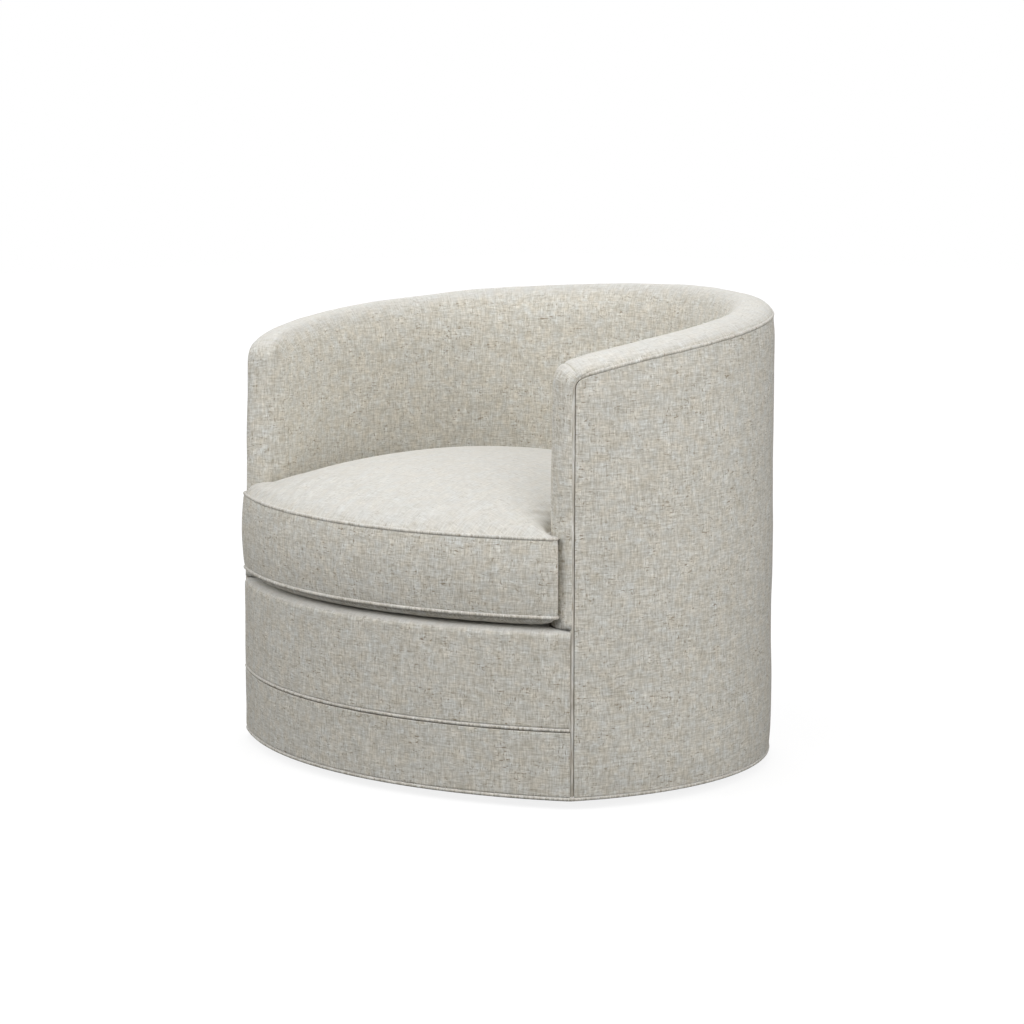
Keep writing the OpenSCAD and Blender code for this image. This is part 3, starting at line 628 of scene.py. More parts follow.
@dataclass(frozen=True)
class ClothFinish:
    """A heathered plain weave with slubs both ways, with painted top light on face-up cloth."""

    name: str
    place: Place = Place.CLOTH
    cool: Colour = (0.833, 0.852, 0.833)
    warm: Colour = (0.872, 0.832, 0.742)
    base: Colour = (0.308, 0.273, 0.207)
    fleck: Colour = (0.200, 0.148, 0.082)
    # painted top light: the paler, even grey that face-up cloth is mixed towards
    top_light_tint: Colour = (0.585, 0.585, 0.575)
    thread: float = 0.0024
    slub: float = 0.020
    fine_thread: float = 0.0015
    fine_slub: float = 0.008
    patch: float = 0.034
    blotch: float = 0.014
    contrast: float = 0.82
    # how much painted top light flattens the weave's contrast on face-up cloth
    top_light_evening: float = 0.25
    fleck_share: float = 0.75
    relief: float = 0.00020
    # how much of the painted top light grey face-up cloth gets
    top_light_tint_share: float = 0.45

    def build(self) -> bpy.types.Material:
        """Makes the material."""
        m = Maker(self.name)
        u, v, w = m.place(self.place)
        depth = w / self.patch
        weft = m.noise(u / self.slub, v / self.thread, depth + 1.7, 2.0, 0.6)
        warp = m.noise(u / self.thread, v / self.slub, depth + 8.3, 2.0, 0.6)
        fine_weft = m.noise(u / self.fine_slub, v / self.fine_thread, depth + 51.2, 1.0)
        fine_warp = m.noise(u / self.fine_thread, v / self.fine_slub, depth + 62.6, 1.0)
        weft_fleck = m.noise(u / self.fine_slub, v / self.thread, depth + 21.4, 1.0)
        warp_fleck = m.noise(u / self.thread, v / self.fine_slub, depth + 33.9, 1.0)
        patch = m.noise(u / self.patch, v / self.patch, depth + 5.1, 3.0, 0.6)
        hue = m.noise(u / self.blotch, v / self.blotch, depth + 77.5, 1.0)
        # Painted top light: face-up cloth is painted with less contrast and paler, standing in for the
        # brighter light on top.
        worn = m.node("ShaderNodeAttribute", {"attribute_type": "GEOMETRY", "attribute_name": "worn"},
                      out="Fac")
        plain = 1.0 - worn * self.top_light_evening
        tone = (weft + warp - 1.0) * 0.85 + (fine_weft + fine_warp - 1.0) * 0.65 + (patch - 0.5) * 0.35
        pale = m.mix(hue * 2.2 - 0.6, self.cool, self.warm)
        colour = m.mix(tone * plain * self.contrast + 0.51, self.base, pale)
        brown = weft_fleck.highest(warp_fleck).rise(0.60, 0.76) * patch.rise(0.34, 0.62) * plain
        colour = m.mix(brown * self.fleck_share, colour, self.fleck)
        # painted top light: face-up cloth mixed towards a paler, even grey
        colour = m.mix(worn * self.top_light_tint_share, colour, self.top_light_tint)
        height = (weft + warp) * 0.6 + (fine_weft + fine_warp) * 0.4
        return m.surface(Base_Color=colour, Roughness=0.92, Specular_IOR_Level=0.18, Sheen_Weight=0.12,
                         Sheen_Roughness=0.6, Sheen_Tint=(0.9, 0.89, 0.86),
                         Normal=m.bump(height, self.relief, 0.8))


@dataclass(frozen=True)
class WoodFinish:
    """Bare plywood: grain on its faces and plies along its edges."""

    name: str
    early: Colour = (0.58, 0.43, 0.26)
    late: Colour = (0.44, 0.30, 0.16)
    ply: float = 0.0031
    upright: bool = False

    def build(self) -> bpy.types.Material:
        """Makes the material."""
        m = Maker(self.name)
        x, y, z = m.place(Place.SOLID)
        along, across = (z, x + y) if self.upright else (x, y)
        grain = m.noise(along / 0.12, across / 0.006, z / 0.02 if not self.upright else x / 0.02, 4.0, 0.6)
        fine = m.noise(along / 0.02, across / 0.0012, 3.1, 2.0)
        colour = m.mix((grain * 0.8 + fine * 0.3).rise(0.3, 0.8), self.late, self.early)
        stripes = (x * x + y * y) / 0.8 if self.upright else z
        plies = stripes.wave(self.ply * 2).rise(-0.2, 0.2)
        normal = m.node("ShaderNodeNewGeometry", out="Normal")
        up = Value(m, m.node("ShaderNodeSeparateXYZ", inputs={0: normal}).socket.node.outputs[2]).size()
        edge = up.rise(0.3, 0.8) if self.upright else 1.0 - up.rise(0.3, 0.8)
        colour = m.mix(edge * plies * 0.55, colour, self.late)
        return m.surface(Base_Color=colour, Roughness=0.62, Normal=m.bump(grain + fine * 0.3, 0.0003, 0.5))


@dataclass(frozen=True)
class BoardFinish:
    """Thin pressed fibreboard."""

    name: str
    base: Colour = (0.34, 0.25, 0.15)

    def build(self) -> bpy.types.Material:
        """Makes the material."""
        m = Maker(self.name)
        x, y, z = m.place(Place.SOLID)
        fibre = m.noise(x / 0.004, y / 0.004, z / 0.004, 4.0, 0.7)
        darker = tuple(c * 0.75 for c in self.base)
        return m.surface(Base_Color=m.mix(fibre.rise(0.3, 0.7), darker, self.base), Roughness=0.8,
                         Normal=m.bump(fibre, 0.0002, 0.6))


@dataclass(frozen=True)
class MetalFinish:
    """Plain steel with handling marks."""

    name: str
    base: Colour = (0.62, 0.63, 0.64)
    rough: float = 0.34
    marks: float = 0.16

    def build(self) -> bpy.types.Material:
        """Makes the material."""
        m = Maker(self.name)
        x, y, z = m.place(Place.SOLID)
        cloud = m.noise(x / 0.03, y / 0.03, z / 0.03, 4.0, 0.6)
        spangle = m.noise(x / 0.004, y / 0.004, z / 0.004, 2.0)
        dull = tuple(c * 0.82 for c in self.base)
        return m.surface(Base_Color=m.mix(cloud.rise(0.35, 0.65), dull, self.base), Metallic=1.0,
                         Roughness=spangle * self.marks + self.rough - self.marks / 2,
                         Normal=m.bump(spangle, 0.00005, 0.4))


@dataclass(frozen=True)
class PlasticFinish:
    """Moulded nylon with a fine grain."""

    name: str
    base: Colour
    rough: float = 0.45

    def build(self) -> bpy.types.Material:
        """Makes the material."""
        m = Maker(self.name)
        x, y, z = m.place(Place.SOLID)
        grain = m.noise(x / 0.0012, y / 0.0012, z / 0.0012, 2.0)
        cloud = m.noise(x / 0.02, y / 0.02, z / 0.02, 3.0)
        paler = tuple(min(1.0, c * 1.2 + 0.01) for c in self.base)
        return m.surface(Base_Color=m.mix(cloud, self.base, paler), Roughness=cloud * 0.1 + self.rough - 0.05,
                         Normal=m.bump(grain, 0.0001, 0.5))


@dataclass(frozen=True)
class FeltFinish:
    """Bonded fibres, as in felt and non-woven cloth."""

    name: str
    base: Colour
    fibre: float = 0.002

    def build(self) -> bpy.types.Material:
        """Makes the material."""
        m = Maker(self.name)
        x, y, z = m.place(Place.SOLID)
        one = m.noise(x / (self.fibre * 6), y / self.fibre, z / self.fibre, 2.0)
        two = m.noise(x / self.fibre, y / (self.fibre * 6), z / self.fibre, 2.0)
        paler = tuple(min(1.0, c * 1.5 + 0.01) for c in self.base)
        return m.surface(Base_Color=m.mix((one * 0.5 + two * 0.5).rise(0.35, 0.65), self.base, paler),
                         Roughness=0.95, Specular_IOR_Level=0.15, Normal=m.bump(one + two, 0.0004, 0.7))


class Finishes:
    """Every material, built once."""

    def __init__(self) -> None:
        """Builds the materials."""
        self.linen = ClothFinish("linen").build()
        # the welt is the same linen with its colours painted a little darker, as painted shade that tones
        # down the lamp-lit cord
        self.welt = ClothFinish("welt_linen_painted_shade", place=Place.SOLID, cool=(0.80, 0.81, 0.785),
                                warm=(0.83, 0.785, 0.71), contrast=1.1, top_light_evening=0.2, fleck_share=0.7).build()
        self.deck = ClothFinish("deck_cloth", cool=(0.66, 0.64, 0.58), warm=(0.68, 0.63, 0.54), contrast=0.6,
                                fleck_share=0.1, thread=0.0012, slub=0.004).build()
        self.ply_flat = WoodFinish("plywood_flat").build()
        self.ply_upright = WoodFinish("plywood_upright", upright=True).build()
        self.board = BoardFinish("fibreboard").build()
        self.zinc = MetalFinish("zinc_plate").build()
        self.spring = MetalFinish("spring_wire", base=(0.18, 0.185, 0.19), rough=0.42).build()
        self.bearing = MetalFinish("bearing_steel", base=(0.75, 0.76, 0.78), rough=0.14, marks=0.06).build()
        self.nylon = PlasticFinish("cage_nylon", base=(0.60, 0.56, 0.42)).build()
        self.glide = PlasticFinish("glide_nylon", base=(0.025, 0.025, 0.027), rough=0.5).build()
        self.felt = FeltFinish("spring_felt", base=(0.16, 0.13, 0.09)).build()
        self.dust = FeltFinish("dust_cloth", base=(0.018, 0.018, 0.02), fibre=0.001).build()
        self.zip = PlasticFinish("zip_coil", base=(0.50, 0.47, 0.40), rough=0.4).build()


# ---- Welts, made along their paths by one Geometry Nodes tree


class CordTree:
    """A Geometry Nodes tree that runs a covered cord along a path of edges."""

    INPUTS = (("Radius", "NodeSocketFloat", 0.003), ("Ring spacing", "NodeSocketFloat", 0.003),
              ("Pucker", "NodeSocketFloat", 0.00012), ("Pucker length", "NodeSocketFloat", 0.008),
              ("Material", "NodeSocketMaterial", None))
    NODES = {
        "start": ("NodeGroupInput", {}, {}),
        "curve": ("GeometryNodeMeshToCurve", {}, {}),
        "even": ("GeometryNodeResampleCurve", {"mode": "LENGTH"}, {}),
        "circle": ("GeometryNodeCurvePrimitiveCircle", {}, {"Resolution": 12}),
        "sweep": ("GeometryNodeCurveToMesh", {}, {"Fill Caps": True}),
        "noise": ("ShaderNodeTexNoise", {}, {"Detail": 1.0}),
        "spacing": ("ShaderNodeMath", {"operation": "DIVIDE"}, {0: 1.0}),
        "centre": ("ShaderNodeMath", {"operation": "SUBTRACT"}, {1: 0.5}),
        "depth": ("ShaderNodeMath", {"operation": "MULTIPLY"}, {}),
        "move": ("ShaderNodeVectorMath", {"operation": "SCALE"}, {}),
        "normal": ("GeometryNodeInputNormal", {}, {}),
        "shift": ("GeometryNodeSetPosition", {}, {}),
        "smooth": ("GeometryNodeSetShadeSmooth", {}, {}),
        "real": ("GeometryNodeRealizeInstances", {}, {}),
        "paint": ("GeometryNodeSetMaterial", {}, {}),
        "end": ("NodeGroupOutput", {}, {}),
    }
    LINKS = (
        ("start", "Path", "curve", "Mesh"),
        ("curve", "Curve", "even", "Curve"),
        ("start", "Ring spacing", "even", "Length"),
        ("start", "Radius", "circle", "Radius"),
        ("even", "Curve", "sweep", "Curve"),
        ("circle", "Curve", "sweep", "Profile Curve"),
        ("start", "Pucker length", "spacing", 1),
        ("spacing", 0, "noise", "Scale"),
        ("noise", 0, "centre", 0),
        ("centre", 0, "depth", 0),
        ("start", "Pucker", "depth", 1),
        ("normal", 0, "move", 0),
        ("depth", 0, "move", "Scale"),
        ("sweep", 0, "shift", "Geometry"),
        ("move", 0, "shift", "Offset"),
        ("shift", 0, "smooth", 0),
        ("smooth", 0, "real", 0),
        ("real", 0, "paint", "Geometry"),
        ("start", "Material", "paint", "Material"),
        ("paint", 0, "end", 0),
    )

    def __init__(self) -> None:
        """Builds the tree from its tables of inputs, nodes and links."""
        self.tree = bpy.data.node_groups.new("covered_cord", "GeometryNodeTree")
        face = self.tree.interface
        face.new_socket("Path", in_out="INPUT", socket_type="NodeSocketGeometry")
        self.sockets = {}
        for name, kind, default in self.INPUTS:
            socket = face.new_socket(name, in_out="INPUT", socket_type=kind)
            if default is not None:
                socket.default_value = default
            self.sockets[name] = socket.identifier
        face.new_socket("Geometry", in_out="OUTPUT", socket_type="NodeSocketGeometry")
        nodes = {}
        for name, (kind, settings, inputs) in self.NODES.items():
            nodes[name] = self.tree.nodes.new(kind)
            for key, value in settings.items():
                setattr(nodes[name], key, value)
            for key, value in inputs.items():
                nodes[name].inputs[key].default_value = value
        for source, out, target, into in self.LINKS:
            self.tree.links.new(nodes[source].outputs[out], nodes[target].inputs[into])

    def run(self, name: str, path: np.ndarray, radius: float, material: bpy.types.Material,
            closed: bool = False) -> bpy.types.Object:
        """Makes one cord.

        Args:
            name: the piece's name.
            path: the points of its middle line.
            radius: its radius.
            material: its cloth.
            closed: whether the path runs back to its start.

        Returns:
            The cord as a plain mesh object.
        """
        mesh = bpy.data.meshes.new(name)
        edges = [(i, i + 1) for i in range(len(path) - 1)] + ([(len(path) - 1, 0)] if closed else [])
        mesh.from_pydata([tuple(p) for p in path], edges, [])
        made = add_object(name, mesh)
        nodes = made.modifiers.new("covered_cord", "NODES")
        nodes.node_group = self.tree
        nodes[self.sockets["Radius"]] = radius
        nodes[self.sockets["Material"]] = material
        settle(made)
        tidy_mesh(made)
        return made


# ---- The fixed upholstery


@dataclass
class InsideUpholstery:
    """The one cloth surface that lines the tub, rolls over its top and down both arm fronts."""

    tub: TubShape
    thickness: float = 0.0022
    upright: int = 44
    top: int = 110
    outer_rows: int = 12
    inner_rows: int = 13
    first_turn: float = 0.12
    dart_at: float = 0.76
    dart_depth: float = 0.0013
    dart_width: float = 0.0008
    dart_puff: float = 0.0004
    puff_at: float = 0.004
    puff_width: float = 0.003
    dart_steps: tuple[float, ...] = (0.009, 0.018, 0.029, 0.042, 0.06, 0.085, 0.12)
    waves: Waves = ((0.16, 11, 0.0009), (0.05, 12, 0.0003))
    wave_heights: tuple[float, float] = (0.30, 0.42)

    def corner_places(self) -> np.ndarray:
        """Places of the stations round an arm corner, which lie close together at the dart."""
        near = np.array(self.dart_steps)
        even = np.linspace(0, 1, 13)
        even = even[np.abs(even - self.dart_at) > near[-1] + 0.02]
        return np.sort(np.concatenate([even, self.dart_at - near, [self.dart_at], self.dart_at + near]))

    def turns(self) -> np.ndarray:
        """How far each row has turned over the roll, from 0 at the welt to pi at the inside wall."""
        outer = np.linspace(self.first_turn, math.pi / 2, self.outer_rows + 1)
        return np.concatenate([outer, np.linspace(math.pi / 2, math.pi, self.inner_rows + 1)[1:]])

    def roll(self, path: np.ndarray) -> tuple[np.ndarray, np.ndarray]:
        """The roll as rows across it, with a map of the cloth.

        Args:
            path: the half seam, as [run, height].

        Returns:
            The points and the map.
        """
        tub = self.tub
        along = lengths_along(tub.whole(path))
        to_dart = np.abs(np.minimum(along, along[-1] - along) - along[self.upright + self.dart_station()])
        groove = self.dart_depth * np.exp(-((to_dart / self.dart_width) ** 2))
        puff = self.dart_puff * np.exp(-(((to_dart - self.puff_at) / self.puff_width) ** 2))
        cloth_along = lengths_along(tub.whole(tub.offset(path, tub.roll_rise * 0.8)))
        rows, flat, length = [], [], 0.0
        for turn in self.turns():
            inner = turn > math.pi / 2 + 1e-9
            over = math.sin(turn) ** (1.0 if inner else tub.fullness)
            rise = tub.roll_foot + tub.inner_edge * over if inner else tub.roll_rise * over
            moved = tub.whole(tub.offset(path, rise))
            if inner:
                share = float(smoothstep(turn / math.pi, 0.6, 1.0))
                inwards = (tub.roll_rise - rise) * (1 - share)
                inwards = inwards + tub.from_crest(moved[:, 0], moved[:, 1]) * share
                full = tub.inside_depth(moved[:, 0], moved[:, 1])
                deep = tub.crest + (full - tub.crest) * tub.soft_share(inwards)
            else:
                deep = tub.crest - (tub.crest - tub.cloth_out) * max(0.0, math.cos(turn)) ** tub.fullness
            moved = tub.settled(moved, 0.0 if inner else 1 - over, over)
            points = tub.wall_point(moved[:, 0], deep, moved[:, 1])
            fade = float(smoothstep(turn, 0.25, 0.7) * (1 - smoothstep(turn, 2.0, 2.9)))
            points -= self.outward(path, turn) * ((groove - puff) * fade)[:, None]
            if rows:
                length += float(np.median(np.linalg.norm(points - rows[-1], axis=1)))
            rows.append(points)
            flat.append(np.stack([cloth_along, np.full(len(along), tub.arm_height + 0.08 - length)], 1))
        return np.array(rows), np.array(flat)

    def dart_station(self) -> int:
        """Which of the corner's stations the dart follows."""
        return int(np.argmin(np.abs(self.corner_places() - self.dart_at)))

    def outward(self, path: np.ndarray, turn: float) -> np.ndarray:
        """The direction that points out of the roll at one row, for every station."""
        tub = self.tub
        t = np.gradient(path, axis=0)
        t /= np.linalg.norm(t, axis=1)[:, None]
        lift = np.stack([-t[:, 1], t[:, 0]], 1)
        lift = np.concatenate([lift, lift[-2::-1] * [-1, 1]])
        round_angle = tub.whole(path)[:, 0] / tub.radius
        zero = np.zeros_like(round_angle)
        round_way = np.stack([np.cos(round_angle), np.sin(round_angle), zero], 1)
        out_way = np.stack([np.sin(round_angle), -np.cos(round_angle), zero], 1)
        over = round_way * lift[:, :1] + np.array([0, 0, 1.0]) * lift[:, 1:]
        way = over * math.sin(turn) + out_way * math.cos(turn)
        return way / np.linalg.norm(way, axis=1)[:, None]

    def wall(self, path: np.ndarray) -> tuple[np.ndarray, np.ndarray]:
        """The inside wall as rows upwards, up to the roll's foot, with a map of the cloth."""
        tub = self.tub
        foot = tub.whole(tub.offset(path, tub.roll_foot)[self.upright:])
        levels = [tub.roll_low + (foot[:, 1] - tub.roll_low) * k for k in np.linspace(0, 1, self.upright + 1)]
        rows, flat = [], []
        for z in [np.full(len(foot), tub.seat_low), *levels]:
            full = tub.inside_depth(foot[:, 0], z)
            deep = tub.crest + (full - tub.crest) * tub.soft_share(tub.from_crest(foot[:, 0], z))
            rows.append(tub.wall_point(foot[:, 0], deep, z))
            flat.append(np.stack([foot[:, 0], z], 1))
        return np.array(rows), np.array(flat)

    def build(self, finishes: Finishes) -> bpy.types.Object:
        """Makes the cloth and puts it in its place."""
        tub = self.tub
        path = tub.half_seam(tub.roll_low, self.upright, self.corner_places(), self.top)
        roll, roll_map = self.roll(path)
        wall, wall_map = self.wall(path)
        points = np.concatenate([roll.reshape(-1, 3), wall.reshape(-1, 3)])
        faces = grid_faces(roll.shape[0], roll.shape[1])
        faces += grid_faces(wall.shape[0], wall.shape[1], roll.shape[0] * roll.shape[1])
        flat = np.concatenate([roll_map.reshape(-1, 2), wall_map.reshape(-1, 2)])
        made = new_object("inside_upholstery", points, faces, flat)
        tidy_mesh(made, 0.00002)
        axis = np.array([0, tub.mid_y, 0.4])
        face_towards(made, lambda c: (axis - c) * [1, 1, 0] + [0, 0, 0.2])
        raise_cloth(made, lambda at: unevenness(at, self.waves) * smoothstep(at[:, 2], *self.wave_heights))
        thicken(made, self.thickness)
        dress(made, finishes.linen, "chair", "linen", "inside_cover", "roll_cover", "inside_foam",
              "roll_foam")
        return made


@dataclass
class OutsideUpholstery:
    """The plain cloth round the outside, tucked in under the welt along its top edge and down both fronts."""

    tub: TubShape
    thickness: float = 0.0036
    tuck: float = 0.0003
    tuck_width: float = 0.0020
    puff: float = 0.0020
    puff_reach: tuple[float, float] = (0.001, 0.030)
    waves: Waves = ((0.22, 21, 0.0007), (0.06, 22, 0.0002))
    wave_reach: tuple[float, float] = (0.004, 0.05)
    rows: int = 56

    def build(self, finishes: Finishes) -> bpy.types.Object:
        """Makes the cloth and puts it in its place."""
        tub = self.tub
        low = tub.hem_height + 2 * tub.welt_radius
        seam = tub.settled(tub.half_seam(low, 1, np.linspace(0, 1, 61), 110), 1.0, 0.0)
        rest = seam[seam[:, 0] > tub.seam_start + CLOSE_REACH, 0]
        run = np.concatenate([tub.seam_start + CLOSE_STEPS, rest])
        top = tub.whole(np.stack([run, np.interp(run, seam[1:, 0], seam[1:, 1])], 1))
        heights = np.array([spaced(low, z, self.rows) for z in top[:, 1]]).T
        flat = np.stack([np.broadcast_to(top[:, 0], heights.shape), heights], -1)
        to_seam = distance_to(flat.reshape(-1, 2), tub.whole(seam)).reshape(heights.shape)
        points = tub.wall_point(flat[..., 0], tuck_depth(to_seam, self.tuck, self.tuck_width), heights)
        made = new_object("outside_upholstery", points, grid_faces(*heights.shape), flat)
        centre = np.array([0, tub.mid_y, 0])
        face_towards(made, lambda c: (c - centre) * [1, 1, 0])
        puff = self.puff * smoothstep(to_seam.ravel(), *self.puff_reach)
        free = smoothstep(to_seam.ravel(), *self.wave_reach)
        raise_cloth(made, lambda at: unevenness(at, self.waves) * free + puff)
        thicken(made, self.thickness)
        dress(made, finishes.linen, "chair", "linen", "outer_cover")
        return made


@dataclass
class Apron:
    """The bowed front below the cushion: a wadded panel that turns over the rail, and a band below."""

    tub: TubShape
    thickness: float = 0.0036
    tuck: float = 0.0007
    tuck_width: float = 0.0024
    columns: int = 150
    waves: Waves = ((0.12, 31, 0.0005), (0.04, 32, 0.00015))
    wave_heights: tuple[float, float] = (0.02, 0.05)

    @property
    def half_angle(self) -> float:
        """Half of the bow's angle, in radians."""
        tub = self.tub
        return math.asin(tub.front_x / tub.bow_radius) + tub.seam_gap / tub.bow_radius

    def angles(self) -> np.ndarray:
        """Angles of the columns, which lie closer at both ends."""
        reach = self.half_angle * self.tub.bow_radius
        return spaced(-reach, reach, self.columns) / self.tub.bow_radius

    def sheet(self, name: str, profile: np.ndarray, tucks: np.ndarray) -> bpy.types.Object:
        """Sweeps a profile along the bow.

        Args:
            name: the piece's name.
            profile: rows of [depth, height, length along the cloth].
            tucks: how much of the side tuck each row has.

        Returns:
            The thickened cloth.
        """
        tub = self.tub
        angle = self.angles()
        side = (self.half_angle - np.abs(angle)) * tub.bow_radius
        tuck = tuck_depth(side, self.tuck, self.tuck_width)
        rows = [tub.bow_point(angle, depth + tuck * share, z)
                for (depth, z, _), share in zip(profile, tucks)]
        flat = [np.stack([angle * tub.bow_radius, np.full(len(angle), length)], 1)
                for _, _, length in profile]
        made = new_object(name, np.array(rows), grid_faces(len(rows), len(angle)), np.array(flat))
        face_towards(made, lambda c: np.stack([c[:, 0] * 0.3, -np.ones(len(c)), c[:, 2] * 0 + 0.3], 1))
        raise_cloth(made, lambda at: unevenness(at, self.waves) * smoothstep(at[:, 2], *self.wave_heights))
        thicken(made, self.thickness)
        return made

    def build(self, finishes: Finishes) -> list[bpy.types.Object]:
        """Makes the panel and the band."""
        tub = self.tub
        low = tub.band_top + 2 * tub.welt_radius + tub.seam_gap
        straight = np.linspace(low + CLOSE_REACH, tub.apron_top - tub.apron_fall, 24)
        heights = np.concatenate([low + CLOSE_STEPS, straight])
        rows = list(zip(tuck_depth(heights - low, self.tuck, self.tuck_width), heights))
        edge, fall = tub.apron_edge, tub.apron_fall
        rows += [(edge * (1 - math.cos(w)), tub.apron_top - fall + (fall - tub.apron_sag) * math.sin(w))
                 for w in np.linspace(0, math.pi / 2, 12)[1:]]
        rows += [(d, tub.apron_top - tub.apron_sag * (1 - float(smoothstep(d, edge, tub.apron_flange))))
                 for d in np.linspace(edge, tub.apron_flange, 8)[1:]]
        tucks = np.array([1.0 if z < tub.apron_top - fall / 3 else 0.3 for _, z in rows])
        panel = self.sheet("apron_panel", self.measured(rows), tucks)
        dress(panel, finishes.linen, "chair", "linen", "apron_cover")
        foot = tub.hem_height + 2 * tub.welt_radius
        heights = spaced(foot, tub.band_top, 14)
        to_seam = np.minimum(heights - foot, tub.band_top - heights)
        rows = list(zip(tuck_depth(to_seam, self.tuck, self.tuck_width), heights))
        band = self.sheet("apron_band_cloth", self.measured(rows), np.ones(len(rows)))
        dress(band, finishes.linen, "chair", "linen", "apron_band")
        return [panel, band]

    def measured(self, rows: Sequence[tuple[float, float]]) -> np.ndarray:
        """Adds the length along the cloth to a profile of depths and heights."""
        flat = np.array(rows)
        return np.column_stack([flat, lengths_along(flat) + flat[0, 1]])


@dataclass
class TubWelts:
    """The three welts of the tub: its edge, the apron's and the hem's."""

    tub: TubShape
    cords: CordTree

    def build(self, finishes: Finishes) -> None:
        """Makes the three cords."""
        tub = self.tub
        rise = tub.welt_radius - tub.seam_gap
        low = tub.hem_height + 2 * tub.welt_radius + tub.seam_gap
        path = tub.half_seam(low, 120, np.linspace(0, 1, 25), 260)
        edge = tub.whole(tub.settled(tub.offset(path, rise, stretch=False), 1.0, 0.0))
        sink = tub.welt_sink + tub.upright_sink * (1 - smoothstep(tub.from_front(edge[:, 0]), 0.0, 0.03))
        half = Apron(tub).half_angle
        z = tub.band_top + tub.seam_gap + tub.welt_radius
        bow = tub.bow_point(np.linspace(-half, half, 240), tub.welt_sink, z)
        for node, line, closed in (
                ("edge_welt", tub.wall_point(edge[:, 0], sink, edge[:, 1]), False),
                ("apron_welt", bow, False), ("hem_welt", self.hem_path(), True)):
            made = self.cords.run(node + "_cord", line, tub.cord_radius, finishes.welt, closed)
            dress(made, finishes.welt, "chair", "welt", node)

    def hem_path(self) -> np.ndarray:
        """The hem's line: round the wall, and along the bowed front."""
        tub = self.tub
        sink, z = tub.welt_sink, tub.hem_height + tub.welt_radius
        turn, half = tub.front_corner(tub.radius - sink, tub.bow_radius - sink)
        start = turn * tub.radius
        bow = tub.bow_point(np.linspace(-half, half, 200)[1:-1], sink, z)
        wall = tub.wall_point(np.linspace(start, 2 * tub.half_round - start, 560), sink, z)
        return rounded(np.concatenate([bow, wall]), 0.004)


def rounded(loop: np.ndarray, reach: float, spacing: float = 0.002) -> np.ndarray:
    """Resamples a closed line evenly and rounds its corners.

    Args:
        loop: its points.
        reach: about how far from a corner the rounding starts.
        spacing: the distance between the new points.

    Returns:
        The new points.
    """
    line = np.concatenate([loop, loop[:1]])
    lengths = lengths_along(line)
    count = int(round(lengths[-1] / spacing))
    even = points_at(line, lengths, np.linspace(0, lengths[-1], count, endpoint=False))
    width = max(1, int(round(reach / spacing)))
    for _ in range(2):
        even = sum(np.roll(even, s, axis=0) for s in range(-width, width + 1)) / (2 * width + 1)
    return even


# ---- The loose cushion


